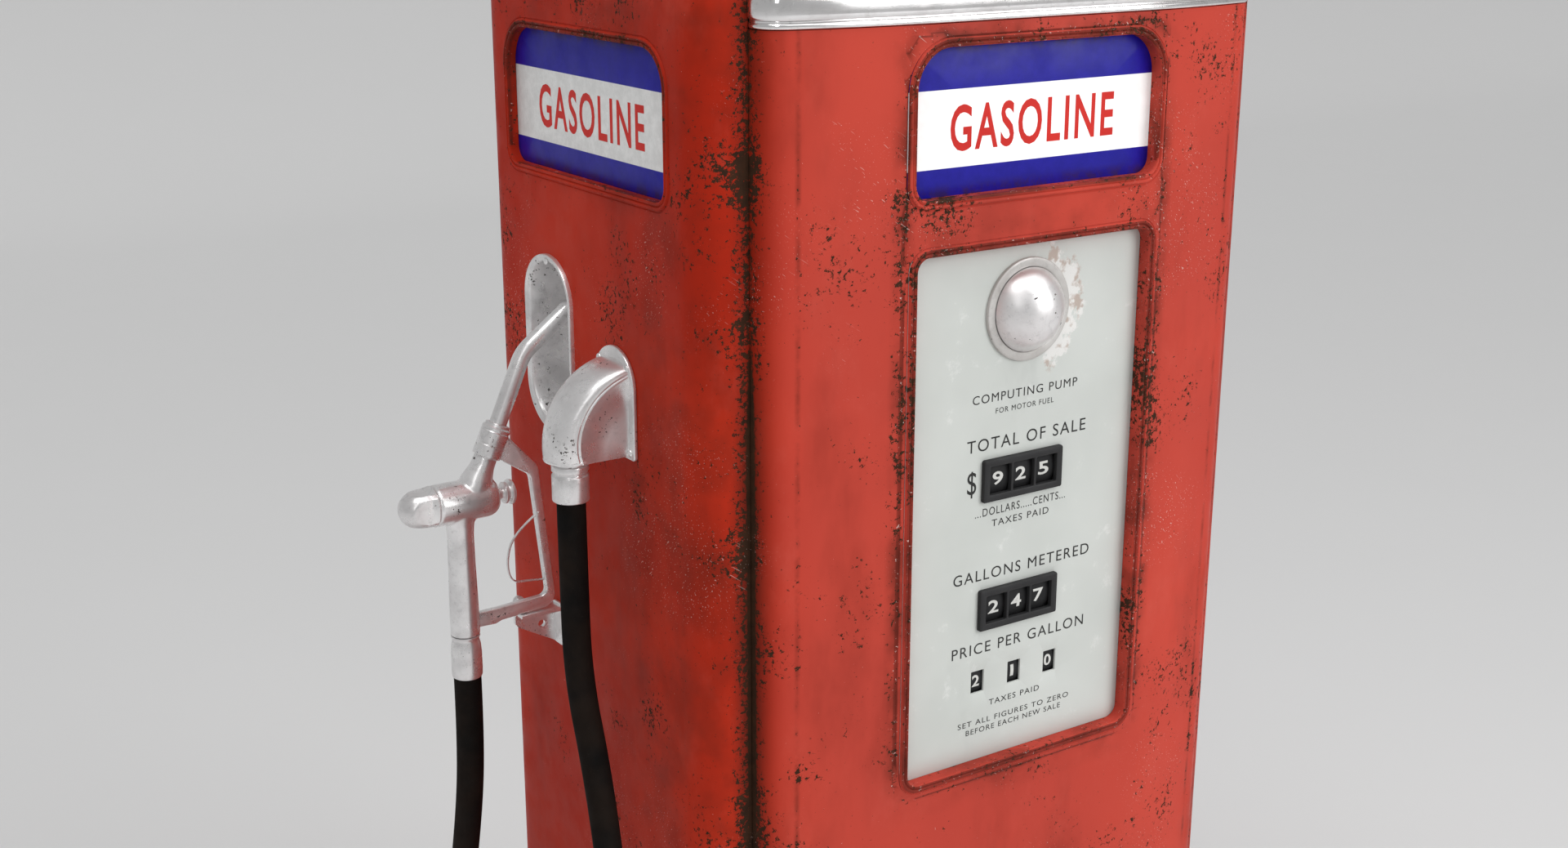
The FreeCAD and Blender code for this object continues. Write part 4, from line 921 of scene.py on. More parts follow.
def side_wear(place):
    """Rust round the opening, a darker band above it, painted shade on the front third, and a dark streak below
    the elbow flange.
    """
    gap = abs(box_distance(SIDE_AD_HALF, AD_Z, AD_R[1], place.y, place.z))
    rim = 0.75 * math.exp(-max(gap - 0.003, 0.0) / 0.006)
    rim = max(rim, LIP_WEAR if 0.0 < gap < 0.006 and abs(abs(place.x) - SIDE_X) < 0.0075 else 0.0)
    above_sign, dark_streak_top, dark_streak_y = 1.345, 0.995, -0.086
    # A darker band above the sign opening.
    above = 0.55 * max(0.0, 1.0 - abs(place.z - above_sign) / 0.03)
    # Painted shade: the panel's front third gets a higher value, which the paint turns into darker smudges.
    shaded = 0.45 if place.y < -0.09 else 0.1
    # A dark streak below the elbow flange, fading downwards.
    if place.x < 0 and place.z < dark_streak_top:
        dark_streak = math.exp(-((place.y - dark_streak_y) / 0.017) ** 2) * math.exp(-(dark_streak_top - place.z) / 0.45)
        shaded = max(shaded, 0.84 * dark_streak)
    return max(rim, above, shaded)


def make_side_panel(name, top, bottom, cup):
    """A side panel in the left panel's place, with its sign opening and, if given, a hole for the boot."""
    middle = SIDE_PLAN.length / 2
    along = [round(s, 6) for s in SIDE_PLAN.stations(FLAT_STEP, 7.0)]
    shoulder = top - SHOULDER_R
    up = spread(bottom, shoulder, UP_STEP)
    up += [shoulder + SHOULDER_R * math.pi / 2 * i / 10 for i in range(1, 11)]
    outlines = [opening(SIDE_AD_HALF, AD_Z, AD_R, LIP_REACH)] + ([cup] if cup else [])
    holes = [[(middle - a, b) for a, b in outline[::-1]] for outline in outlines]
    made = bmesh.new()
    fill(made, lattice_edge(along, up), holes, along, up, lambda a, b: side_face(a, b, top))
    add_lip(made, SIDE_AD_HALF, AD_Z, AD_R, left_space, SIDE_X, SIDE_X - SIDE_GLASS_DEPTH + SIDE_GLASS_GAP)
    rim = [side_face(a, up[-1], top) for a in along]
    add_strip(made, rim, [Vector((-PANEL_EDGE, point.y, top)) for point in rim])
    for sign in (-1, 1):
        outer, inner, high_z = sign * CORNER_Y, sign * (CORNER_Y - SEAM_FLANGE), top - 0.002
        corners = [(outer, bottom), (outer, high_z), (inner, high_z), (inner, bottom)]
        made.faces.new([made.verts.new((-PANEL_EDGE, y, z)) for y, z in corners])
    panel = finish_mesh(name, made, 30)
    set_wear(panel, side_wear)
    return panel


# The nozzle boot's heights and half width.
BOOT_Z = (0.981, 1.136)
BOOT_HALF = 0.0415
# A full round keeps this much flat in its middle, so that no two of its points fall together.
ROUND_GAP = 0.0002


def stadium(out):
    """Outline of the nozzle boot, grown by out, as (along Y, up)."""
    half = BOOT_HALF + out
    radius = half - ROUND_GAP
    flat = rounded_box(half, BOOT_Z[0] - out, BOOT_Z[1] + out, radius, radius, 14)
    return [(NOZZLE_Y + a, b) for a, b in flat]


def make_side_panels():
    bottom, top = low("left_side_panel").z, high("left_side_panel").z
    left = make_side_panel("left_side_skin", top, bottom, stadium(-0.006))
    right = make_side_panel("right_side_skin", top, bottom, None)
    right.data.transform(Matrix.Scale(-1, 4, (1, 0, 0)))
    right.data.flip_normals()
    dress(left, "root", ENAMEL, "red_enamel", "left_side_panel")
    dress(right, "root", ENAMEL, "red_enamel", "right_side_panel")


make_side_panels()


# ---- crown and trims ----
CROWN_PLAN = door_plan(-0.0005)


def crown_outline(inset, up):
    """The crown's outline, moved in by inset: its front half, and the same half turned to the rear."""
    spots = [CROWN_PLAN.at(s) for s in CROWN_PLAN.stations(FLAT_STEP, BEND_STEP)]
    front = [place - normal * inset for place, normal in spots]
    return [Vector((p.x, p.y, up)) for p in front + [-p for p in front]]


def make_crown():
    bottom, top = low("crown_cap").z, high("crown_cap").z
    radius, inset = 0.018, 0.003
    rings = [crown_outline(inset, bottom)]
    for turn in [math.pi / 2 * i / 8 for i in range(9)]:
        rings.append(crown_outline(inset + radius * (1 - math.cos(turn)),
                                   top - radius + radius * math.sin(turn)))
    made = bmesh.new()
    add_loft(made, rings, caps=(False, True))
    crown = finish_mesh("crown_skin", made, 30)
    set_wear(crown, lambda place: 0.25)
    dress(crown, "root", ENAMEL, "red_enamel", "crown_cap")


# Section of the bright band over a door: (out from the door's face, up), in mm.
TRIM_SECTION = [(-2, 0), (0.4, 0.1), (1.3, 0.7), (1.75, 1.7), (1.8, 2.8), (1.35, 3.9), (0.5, 4.6), (0, 5.1),
                (0.1, 5.6), (0.9, 6.2), (1.9, 7.3), (2.6, 8.8), (2.95, 10.8), (3.0, 13.0), (3.0, 17.5),
                (2.9, 19.5), (2.5, 21.4), (1.7, 23.0), (0.5, 24.2), (-1.0, 24.8), (-2.0, 25.0)]


# Where a band ends, the middle of its section in mm, and the length in which its ends round off.
TRIM_BACK = -0.1885
TRIM_MIDDLE = 12.5
TRIM_END = 0.004


def make_trims():
    """The bright bands over the doors. Each section shrinks to a round end."""
    bottom = low("crown_trims").z
    plan = door_plan(TRIM_BACK)
    rings = []
    for s in plan.stations(FLAT_STEP, 5.0):
        place, normal = plan.at(s)
        end = min(s, plan.length - s)
        shrink = math.sqrt(max(0.0, 1.0 - (1.0 - min(end / TRIM_END, 1.0)) ** 2))
        ring = []
        for out, up in TRIM_SECTION:
            spot = place + normal * ((max(out, 0.0) * shrink + min(out, 0.0)) * MM)
            rise = TRIM_MIDDLE + (up - TRIM_MIDDLE) * (0.86 + 0.14 * shrink)
            ring.append(Vector((spot.x, spot.y, bottom + rise * MM)))
        rings.append(ring)
    dress_faces(loft("front_trim_band", rings, sharp=40), BRIGHT, "bright_trim", "crown_trims")


make_crown()
make_trims()


# ---- signs and dial ----
# The cabinet's sides, and how far a piece made for the front turns to each.
FACES = (("front", 0.0), ("rear", math.pi))
SIDES = (("left", -math.pi / 2), ("right", math.pi / 2))
LETTER_SPACE = 1.18
PRINT_LIFT = 0.00012


def lettering(words, width, height, centre, swell):
    """Flat print that faces -Y: words fitted to a width and a height in mm, round a centre in metres."""
    text = bpy.data.curves.new("print", "FONT")
    text.body = words
    text.offset = swell
    text.space_character = LETTER_SPACE
    text.resolution_u = 4
    holder = as_object("print", text)
    bpy.context.view_layer.update()
    mesh = bpy.data.meshes.new_from_object(holder.evaluated_get(bpy.context.evaluated_depsgraph_get()))
    bpy.data.objects.remove(holder)
    spots = [v.co.copy() for v in mesh.vertices]
    lowest = Vector((min(s.x for s in spots), min(s.y for s in spots)))
    highest = Vector((max(s.x for s in spots), max(s.y for s in spots)))
    for vertex in mesh.vertices:
        across = ((vertex.co.x - lowest.x) / (highest.x - lowest.x) - 0.5) * width * MM
        up = ((vertex.co.y - lowest.y) / (highest.y - lowest.y) - 0.5) * height * MM
        vertex.co = (centre[0] + across, centre[1], centre[2] + up)
    made = bmesh.new()
    take_mesh(made, mesh)
    bmesh.ops.remove_doubles(made, verts=made.verts, dist=WELD)
    return made


def printed(name, lines, face, material, slot, turn, swell=0.0):
    """Lines of print (words, width, height, middle across, height of the middle) as one piece."""
    whole = bmesh.new()
    for words, width, height, across, up in lines:
        line = lettering(words, width, height, (across * MM, -face - PRINT_LIFT, up), swell)
        take_mesh(whole, as_mesh(name, line))
    if turn:
        bmesh.ops.transform(whole, matrix=Matrix.Rotation(turn, 4, "Z"), verts=whole.verts)
    dress(show(name, as_mesh(name, whole)), "root", material, slot)


# Middles of the counters, and a dial's lines: words, width, height and middle across in mm, and the
# height of the middle in metres.
SALE_Z = 0.967
GALLONS_Z = 0.853
PRICE_Z = 0.788
LABELS = [("TOTAL OF SALE", 128, 10.6, 5.5, 0.9985), ("$", 9.5, 23.0, -52.5, 0.966),
          ("...DOLLARS.....CENTS...", 98, 7.0, 1.0, 0.9395), ("TAXES PAID", 62, 6.0, 1.0, 0.9285),
          ("GALLONS METERED", 149, 9.8, 5.5, 0.8845), ("PRICE PER GALLON", 146, 9.8, 4.5, 0.8185),
          ("TAXES PAID", 56, 5.2, 1.5, 0.7655), ("SET ALL FIGURES TO ZERO", 124, 4.9, 2.0, 0.7505),
          ("BEFORE EACH NEW SALE", 106, 4.9, 2.0, 0.7425), ("COMPUTING PUMP", 112, 7.4, 2.0, 1.0375),
          ("FOR MOTOR FUEL", 62, 4.6, 1.5, 1.0255)]
# The rest of such a line for the word on a sign: height, middle across and height of the middle.
SIGN_WORD = (36.0, 0.0, 1.259)


def make_labels():
    """Generic print: the dials' lines, and one word on each sign."""
    for side, turn in FACES:
        printed(side + "_dial_labels", LABELS, PLATE_Y, INK, "counter_black", turn)
        printed(side + "_sign_word", [("GASOLINE", 168, *SIGN_WORD)], PLATE_Y, SIGN_RED,
                "sign_glass", turn, 0.018)
    for side, turn in SIDES:
        printed(side + "_sign_word", [("GASOLINE", 178, *SIGN_WORD)], SIDE_X - SIDE_GLASS_DEPTH, SIGN_RED,
                "sign_glass", turn, 0.018)


def sheet_with_holes(name, outer, holes, front, back, chamfer, columns, rows):
    """A plate that faces -Y, with chamfered holes. Its outlines are functions of how far they grow."""
    made = bmesh.new()

    def at(depth):
        return lambda a, b: front_space(a, b, depth)
    fill(made, outer(-chamfer), [hole(chamfer) for hole in holes], columns, rows, at(front))
    fill(made, outer(0.0), [hole(0.0) for hole in holes], columns, rows, at(back))
    for outline, sign in [(outer, -1)] + [(hole, 1) for hole in holes]:
        rings = [[at(front)(a, b) for a, b in outline(sign * chamfer)],
                 [at(front - chamfer * 0.3)(a, b) for a, b in outline(sign * chamfer * 0.3)],
                 [at(front - chamfer)(a, b) for a, b in outline(0.0)],
                 [at(back)(a, b) for a, b in outline(0.0)]]
        add_loft(made, rings, caps=(False, False))
    return finish_mesh(name, made, 30)


def window(across, centre, width, height, radius):
    """A small rounded opening, as a function of how far it grows."""
    def outline(out):
        box = rounded_box(width / 2 + out, centre - height / 2 - out, centre + height / 2 + out,
                          radius + out, radius + out, 4)
        return [(across + a, b) for a, b in box]
    return outline


def circle(centre, radius, steps=64):
    """A round opening on the middle line, as a function of how far it grows."""
    def outline(out):
        angles = [2 * math.pi * i / steps for i in range(steps)]
        return [((radius + out) * math.sin(a), centre + (radius + out) * math.cos(a)) for a in angles][::-1]
    return outline


# Spacing of the wheels in the counters and of the price wheels.
DIGIT_PITCH = 0.0247
PRICE_PITCH = 0.040


# How far a dial plate or a sign glass reaches past its opening.
OVERLAP = 0.007


def dome_height():
    return (low("sight_domes").z + high("sight_domes").z) / 2


def make_dial_plates():
    """Dial plates with openings for the counters, the price wheels and the sight dome."""
    half = DIAL_HALF + OVERLAP
    outer = window(0.0, (DIAL_Z[0] + DIAL_Z[1]) / 2, 2 * half, DIAL_Z[1] - DIAL_Z[0] + 2 * OVERLAP, 0.008)
    holes = [window(0.0, z, 3 * DIGIT_PITCH + 0.001, 0.031, 0.001) for z in (SALE_Z, GALLONS_Z)]
    holes += [window(i * PRICE_PITCH, PRICE_Z, 0.0138, 0.020, 0.0006) for i in (-1, 0, 1)]
    holes.append(circle(dome_height(), 0.029))
    columns, rows = spread(-half, half, 0.025), spread(DIAL_Z[0] - OVERLAP, DIAL_Z[1] + OVERLAP, 0.025)
    plate = sheet_with_holes("front_dial_plate", outer, holes, PLATE_Y, PLATE_Y - 0.002, 0.0004, columns, rows)
    dress_faces(plate, DIAL, "dial_enamel", "dial_plates")


def make_bezels():
    """Frames with a window for each wheel, round the sale and gallons counters."""
    width, height, proud = 0.0846, 0.0365, 0.004
    for z, counter in ((SALE_Z, "sale"), (GALLONS_Z, "gallons")):
        holes = [window(i * DIGIT_PITCH, z, 0.022, 0.024, 0.0008) for i in (-1, 0, 1)]
        bezel = sheet_with_holes(f"front_{counter}_bezel", window(0.0, z, width, height, 0.002), holes,
                                 PLATE_Y + proud, PLATE_Y, 0.0011, [-0.0365, -0.0122, 0.0122, 0.0365],
                                 [z - 0.015, z, z + 0.015])
        dress_faces(bezel, COUNTER, "counter_black", "counter_bezels")


def make_domes():
    """Sight domes, each part of a ball on a short foot, in their rings."""
    face = Vector((0.0, -PLATE_Y, dome_height()))
    radius, tall, base = 35.0, 24.0, 3.0
    ball = (radius ** 2 + tall ** 2) / (2 * tall)
    centre = base - (ball - tall)
    span = math.asin(radius / ball)
    profile = [(0.2, 34.9), (2.6, 34.9)]
    for i in range(20):
        turn = span * (1 - i / 20)
        profile.append((centre + ball * math.cos(turn), ball * math.sin(turn)))
    profile.append((centre + ball, 0.05))
    dome = lathe("front_sight_dome", profile, face, (0, -1, 0), 96)
    ring = lathe("front_dome_ring", [(0, 43), (1.9, 43), (2.6, 42.6), (2.95, 41.8), (3, 41), (3, 36.6),
                                     (2.7, 35.8), (2.0, 35.2), (0.0, 35.15)], face, (0, -1, 0), 96, loop=True)
    dress_faces(dome, DOME, "polished_metal", "sight_domes")
    dress_faces(ring, RING, "polished_metal", "sight_domes")


def make_glasses():
    """Sign glasses with ground edges."""
    heights = (AD_Z[0] - OVERLAP, AD_Z[1] + OVERLAP)
    rows = ((AD_HALF + 0.006, FACES, PLATE_Y), (SIDE_AD_HALF + 0.006, SIDES, SIDE_X - SIDE_GLASS_DEPTH))
    for half, places, front in rows:
        for side, turn in places:
            outer = window(0.0, sum(heights) / 2, 2 * half, heights[1] - heights[0], 0.006)
            glass = sheet_with_holes(side + "_sign_glass", outer, [], front, front - 0.004, 0.0006,
                                     spread(-half, half, 0.05), spread(*heights, 0.04))
            glass.data.transform(Matrix.Rotation(turn, 4, "Z"))
            dress(glass, "root", GLASS, "sign_glass", "ad_glasses")


# Each counter's figures as shown, its wheels, and the width and height of a figure in mm.
COUNTERS = {"sale": ("925", ("dollars", "dimes", "cents"), (11.2, 11.6)),
            "gallons": ("247", ("tens", "units", "tenths"), (11.2, 11.6)),
            "price": ("210", ("tens", "units", "tenths"), (7.8, 10.6))}
# Height of the strips that a figure is cut into.
FIGURE_CUT = 0.0012


def figure(digit, width, height):
    """One figure as a flat mesh, centred. It is cut across, so that it can follow a wheel's round."""
    made = lettering(str(digit), width * 0.45 if digit == 1 else width, height, (0.0, 0.0, 0.0), 0.022)
    for level in range(-5, 6):
        bmesh.ops.bisect_plane(made, geom=made.verts[:] + made.edges[:] + made.faces[:],
                               plane_co=(0.0, 0.0, level * FIGURE_CUT), plane_no=(0.0, 0.0, 1.0))
    return made


def make_rim(name, centre, radius, half):
    """A wheel's rim, web and hub. Its half width and radius are in mm."""
    profile = [(-half, radius - 0.6), (-half + 0.6, radius), (half - 0.6, radius), (half, radius - 0.6),
               (half, radius - 3), (1.5, radius - 3.4), (1.5, 9.0), (half - 0.5, 8.8), (half - 0.5, 4.1),
               (0.5 - half, 4.1), (0.5 - half, 8.8), (-1.5, 9.0), (-1.5, radius - 3.4), (-half, radius - 3)]
    return lathe(name, profile, centre, (1, 0, 0), 90, loop=True)


def make_figures(name, figures, first, centre, radius):
    """Ten figures laid round a rim, with the figure called first at the front."""
    made = bmesh.new()
    reach = (radius + 0.1) * MM
    for step in range(10):
        copy = figures[(first + step) % 10].copy()
        for vertex in copy.verts:
            angle = vertex.co.z / reach + math.radians(36 * step)
            vertex.co = centre + Vector((vertex.co.x, -reach * math.cos(angle), reach * math.sin(angle)))
        take_mesh(made, as_mesh("figure", copy))
    return show(name, as_mesh(name, made))


def make_wheels():
    """Number wheels, made in the front face's place and turned to their own."""
    for counter, (shown, digits, size) in COUNTERS.items():
        figures = [figure(digit, *size) for digit in range(10)]
        for first, digit in zip(shown, digits):
            lowest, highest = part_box(f"front_{counter}_{digit}_wheel")
            centre = (lowest + highest) / 2
            radius, half = (highest.z - lowest.z) / 2 / MM, (highest.x - lowest.x) / 2 / MM
            for side, turn in FACES:
                node = f"{side}_{counter}_{digit}_wheel"
                rim = make_rim(node + "_rim", centre, radius, half)
                marks = make_figures(node + "_figures", figures, int(first), centre, radius)
                for piece in (rim, marks):
                    piece.data.transform(Matrix.Rotation(turn, 4, "Z"))
                dress(rim, node, WHEEL, "wheel_black", node)
                dress(marks, node, FIGURE, "wheel_black")
        for made in figures:
            made.free()


make_labels()
make_dial_plates()
make_bezels()
make_domes()
make_glasses()
make_wheels()


# ---- boot, elbow and hook ----
def make_boot():
    """Nozzle boot: a flange with a raised rim bead and a deep cup with a step inside it."""
    steps = [(0, 0), (0, 3.2), (0.35, 4.1), (1.2, 4.5), (2.1, 4.2), (2.7, 3.4), (3.2, 3), (4.6, 2.9),
             (5.6, 2.3), (6.4, 1.0), (7.2, -2.0), (8.0, -7.0), (9.0, -14.0), (10.0, -24.0), (11.0, -33.0),
             (13.0, -39.0), (16.5, -43.2), (21.5, -45.4), (28.0, -46.0)]
    rings = [[left_space(a, b, SIDE_X + depth * MM) for a, b in stadium(-inset * MM)]
             for inset, depth in steps]
    boot = loft("boot_casting", rings, caps=(False, True), sharp=50)
    dress(boot, "root", CAST, "cast_aluminium", "nozzle_boot")


# The outlet's axis, and the heights of the elbow's flange and of the coupling.
OUTLET_X = -0.3317
OUTLET_Y = -0.0495
ELBOW_Z = (0.991, 1.081)
COUPLING_Z = (0.958, 0.993)


def make_elbow():
    """Cast hood with flat cheeks, a double ridge and a rounded crown, on an arch-topped flange."""
    half = 0.0323
    outline = rounded_box(half, ELBOW_Z[0], ELBOW_Z[1], 0.003, half - ROUND_GAP, 14)
    flange = slab("elbow_flange", [(OUTLET_Y + a, b) for a, b in outline], SIDE_X, 0.004, 0.0013, left_space)
    hinge = Vector((-SIDE_X - 0.001, OUTLET_Y, COUPLING_Z[1]))
    reach = abs(OUTLET_X - hinge.x) / MM
    wall_half, wall_far, end_half, ridge = 25.5, 79.0, 21.0, 9.5
    steps = 26
    rings = []
    for i in range(steps + 1):
        share = i / steps
        turn = math.pi / 2 * share
        along = Vector((-math.sin(turn), 0.0, math.cos(turn)))
        wide = wall_half + (end_half - wall_half) * share
        far = wall_far + (reach + end_half - wall_far) * share ** 0.9
        shoulder = far - ridge - (end_half - ridge) * share ** 1.3
        section = [(-wide, 0.4), (-wide, shoulder * 0.5), (-wide, shoulder - 3.0),
                   (-wide - 0.75, shoulder - 2.2), (-wide - 0.75, shoulder - 0.9), (-wide + 0.2, shoulder),
                   (-wide - 0.4, shoulder + 0.9), (-wide - 0.35, shoulder + 1.9)]
        crown = far - shoulder - 2.4
        arch = [(-(wide - 0.3) * math.cos(bow), shoulder + 2.4 + crown * math.sin(bow))
                for bow in [math.pi * k / 24 for k in range(25)]]
        section += arch + [(-a, b) for a, b in section[::-1]]
        rings.append([hinge + Vector((0.0, a * MM, 0.0)) + along * (b * MM) for a, b in section])
    hood = loft("elbow_hood", rings, sharp=50)
    rim = lathe("elbow_snout", [(-0.6, 15.5), (-0.6, 20.2), (-0.2, 21.2), (0.8, 21.6), (2.2, 21.5), (3.2, 20.9),
                                (3.2, 15.5)], (OUTLET_X, OUTLET_Y, COUPLING_Z[1]), (0, 0, 1), loop=True)
    for piece in (flange, hood, rim):
        dress(piece, "root", CAST, "cast_aluminium", "outlet_elbow")


def make_coupling():
    profile = [(0, 12.2), (0, 14.4), (0.5, 15.1), (1.2, 15.35), (21.5, 15.35), (22.2, 15.1), (22.7, 14.4),
               (23.4, 14), (24.6, 14), (25.2, 14.5), (25.8, 15.2), (26.6, 15.35), (29.6, 15.35), (30.6, 15),
               (31.0, 14.2), (31.3, 13.5), (34.9, 13.5)]
    coupling = lathe("coupling_sleeve", profile, (OUTLET_X, OUTLET_Y, COUPLING_Z[0]), (0, 0, 1))
    dress(coupling, "root", CAST, "cast_aluminium", "hose_coupling")


def make_screw_heads():
    """Round-headed screws in the boot's and the elbow's flanges."""
    spots = [(NOZZLE_Y, BOOT_Z[0] + 0.0058, 3.0), (NOZZLE_Y, BOOT_Z[1] - 0.0058, 3.0)]
    for away, z in ((0.026, 0.997), (0.023, 1.067)):
        spots += [(OUTLET_Y - away, z, 4.0), (OUTLET_Y + away, z, 4.0)]
    made = bmesh.new()
    for y, z, face in spots:
        profile = [(0.0, 3.1), (0.5, 3.0), (1.1, 2.5), (1.5, 1.7), (1.7, 0.8), (1.75, 0.05)]
        add_loft(made, turned_rings(profile, (-SIDE_X - face * MM, y, z), (-1, 0, 0), 20))
    heads = finish_mesh("flange_screw_heads", made, 50)
    dress(heads, "root", CAST, "steel", "flange_screws")


# The hook's middle, the top of its arm and its outer end.
HOOK_Y = 0.069
HOOK_TOP = 0.8176
HOOK_TIP = -0.328


def make_hook():
    """Wall bracket: a rounded arm, a gusset with a padlock hole, a lug with its pin, and a foot."""
    tip, wall, plate_sides = HOOK_TIP, -SIDE_X - 0.0025, (HOOK_Y + 0.005, HOOK_Y + 0.009)
    made = bmesh.new()
    gusset = [(tip + 0.003, HOOK_TOP - 0.002), (tip, HOOK_TOP - 0.006), (tip, HOOK_TOP - 0.013),
              (tip + 0.003, HOOK_TOP - 0.0165), (wall, HOOK_TOP - 0.037), (wall, HOOK_TOP - 0.002)]
    radius = 0.0035
    hole = [(-0.3025 + radius * math.cos(math.pi * i / 12), 0.800 + radius * math.sin(math.pi * i / 12))
            for i in range(24)]
    columns, rows = spread(tip, wall, 0.012), spread(HOOK_TOP - 0.037, HOOK_TOP, 0.012)
    for y in plate_sides:
        fill(made, gusset, [hole], columns, rows, lambda a, b: nozzle_space(a, b, y))
    for outline in (gusset, hole):
        rings = [[nozzle_space(a, b, y) for a, b in outline] for y in plate_sides]
        add_loft(made, rings, caps=(False, False))
    plate = finish_mesh("hook_gusset", made, 30)
    low_y, high_y = HOOK_Y - 0.009, HOOK_Y + 0.009
    arm = slab("hook_arm", [(tip, low_y), (wall, low_y), (wall, high_y), (tip, high_y)],
               HOOK_TOP - 0.004, 0.004, 0.0011, level_space)
    sole = rounded_box(0.0092, -0.0205, 0.0195, 0.004, 0.004, 5)
    sole = [(HOOK_Y + a, HOOK_TOP - 0.0175 + b) for a, b in sole]
    foot = slab("hook_foot", sole, SIDE_X, 0.003, 0.001, left_space)
    ear = [(1.0, -4.0), (11.0, -4.0), (11.0, 8.5), (8.5, 11.0), (3.5, 11.0), (1.0, 8.5)]
    lug = slab("hook_lug", [(tip + a * MM, HOOK_TOP + b * MM) for a, b in ear], HOOK_Y + 0.005, 0.004, 0.0008,
               nozzle_space)
    pin = lathe("hook_pin", [(0, 3), (0.3, 3.2), (0.6, 4.9), (1.2, 5), (2.8, 4.9), (4, 4.1), (4.7, 2.6),
                             (4.95, 0.05)], (tip + 0.006, HOOK_Y + 0.0091, HOOK_TOP + 0.0065), (0, 1, 0), 32)
    for piece in (plate, arm, foot, lug, pin):
        dress(piece, "root", CAST, "cast_aluminium", "hook_bracket")


make_boot()
make_elbow()
make_coupling()
make_screw_heads()
make_hook()


# ---- nozzle ----
# The nozzle: heights or places of its barrel, handle, ferrule, spout collar and trigger pin.
VALVE_Z = 0.9327
HANDLE_X = -0.380
FERRULE_Z = (0.772, 0.811)
COLLAR_START = Vector((-0.353, NOZZLE_Y, 0.9684))
COLLAR_END = Vector((-0.3416, NOZZLE_Y, 0.9925))
NECK_AXIS = (COLLAR_END - COLLAR_START).normalized()
TRIGGER_PIN = Vector((-0.3069, NOZZLE_Y, 0.908))


def make_nozzle_body():
    """Valve barrel, handle and neck, melted together as one casting."""
    made = bmesh.new()
    barrel = [(-403.7, 15.8), (-402.9, 17.3), (-401.5, 17.9), (-372, 17.9), (-356, 17.6), (-351, 16.4),
              (-348.0, 14.4), (-346.2, 11.8), (-345.6, 8.0)]
    add_loft(made, turned_rings(barrel, (0.0, NOZZLE_Y, VALVE_Z), (1, 0, 0), 48))
    handle = [(811.0, 12.0), (812.0, 12.8), (840.0, 12.6), (880.0, 11.7), (902.0, 11.5), (912.0, 12.2),
              (919.0, 14.0), (926.0, 16.0)]
    add_loft(made, turned_rings(handle, (HANDLE_X, NOZZLE_Y, 0.0), (0, 0, 1), 48))
    neck = [(-32.0, 15.5), (-22.0, 14.0), (-14.0, 11.6), (-8.0, 10.3), (0.0, 10.0)]
    add_loft(made, turned_rings(neck, COLLAR_START, NECK_AXIS, 48))
    body = finish_mesh("nozzle_casting", made)
    applied(body, ("REMESH", {"mode": "VOXEL", "voxel_size": 0.0009, "use_smooth_shade": True}),
            ("SMOOTH", {"factor": 0.5, "iterations": 12}))
    dress(body, "nozzle", CAST, "cast_aluminium", "nozzle_body")


def make_nozzle_cap():
    """Domed end cap with four wrench flats."""
    profile = [(403.8, 16.6), (404.0, 17.5), (404.5, 17.9), (409.0, 17.9)]
    turns = [math.pi / 2 * i / 18 for i in range(18)]
    profile += [(409.6 + 24.0 * math.sin(turn), 17.8 * math.cos(turn) ** 0.8) for turn in turns]
    profile.append((433.7, 0.05))
    rings = turned_rings(profile, (0.0, NOZZLE_Y, VALVE_Z), (-1, 0, 0), 96)
    flat, flats_start = 0.0140, 409.0
    for ring in [ring for ring, (along, _) in zip(rings, profile) if along >= flats_start]:
        for point in ring:
            point.y = NOZZLE_Y + min(max(point.y - NOZZLE_Y, -flat), flat)
            point.z = VALVE_Z + min(max(point.z - VALVE_Z, -flat), flat)
    cap = loft("nozzle_end_cap", rings, sharp=25)
    dress(cap, "nozzle", CAST, "polished_metal", "nozzle_cap")


def make_stem():
    profile = [(-357, 4.9), (-339.2, 4.9), (-338.9, 9), (-338.4, 9.5), (-336.6, 9.5), (-336.1, 9),
               (-335.9, 7.7), (-333.7, 7.7), (-333.5, 10.4), (-333.0, 11.0), (-331.2, 11.0),
               (-330.6, 10.4), (-330.4, 5.2),
               (-329.9, 5.0), (-328.4, 5.0), (-327.8, 4.4)]
    stem = lathe("valve_spool", profile, (0.0, NOZZLE_Y, VALVE_Z), (1, 0, 0), 48)
    dress(stem, "valve_stem", CAST, "steel", "valve_stem")


def make_collar():
    span = (COLLAR_END - COLLAR_START).length / MM
    profile = [(-0.4, 10.2), (0, 11.6), (0.6, 12.3), (1.2, 12.4), (10, 12.4), (10.4, 12.1), (11.6, 12.1),
               (12.0, 12.4), (span - 4.5, 12.4), (span - 4.0, 12.0), (span - 3.6, 11.9), (span - 3.2, 12.4),
               (span - 0.8, 12.4), (span, 11.7), (span + 0.4, 10.9), (span + 2.6, 10.6), (span + 3.0, 9.8),
               (span + 3.0, 7.6)]
    collar = lathe("spout_sleeve", profile, COLLAR_START, NECK_AXIS, 64, sharp=28)
    dress(collar, "nozzle", CAST, "cast_aluminium", "spout_collar")


def round_corner(before, corner, after, radius, step, least):
    """Points of the arc that rounds a corner, about step degrees apart."""
    one, two = (before - corner).normalized(), (after - corner).normalized()
    turn = math.pi - one.angle(two)
    setback = radius * math.tan(turn / 2)
    centre = corner + (one + two).normalized() * (radius / math.cos(turn / 2))
    start, end = corner + one * setback - centre, corner + two * setback - centre
    count = max(least, int(math.degrees(turn) / step))
    arc = []
    for share in [i / count for i in range(count + 1)]:
        arm = start * math.sin((1 - share) * turn) + end * math.sin(share * turn)
        arc.append(centre + arm / math.sin(turn))
    return arc


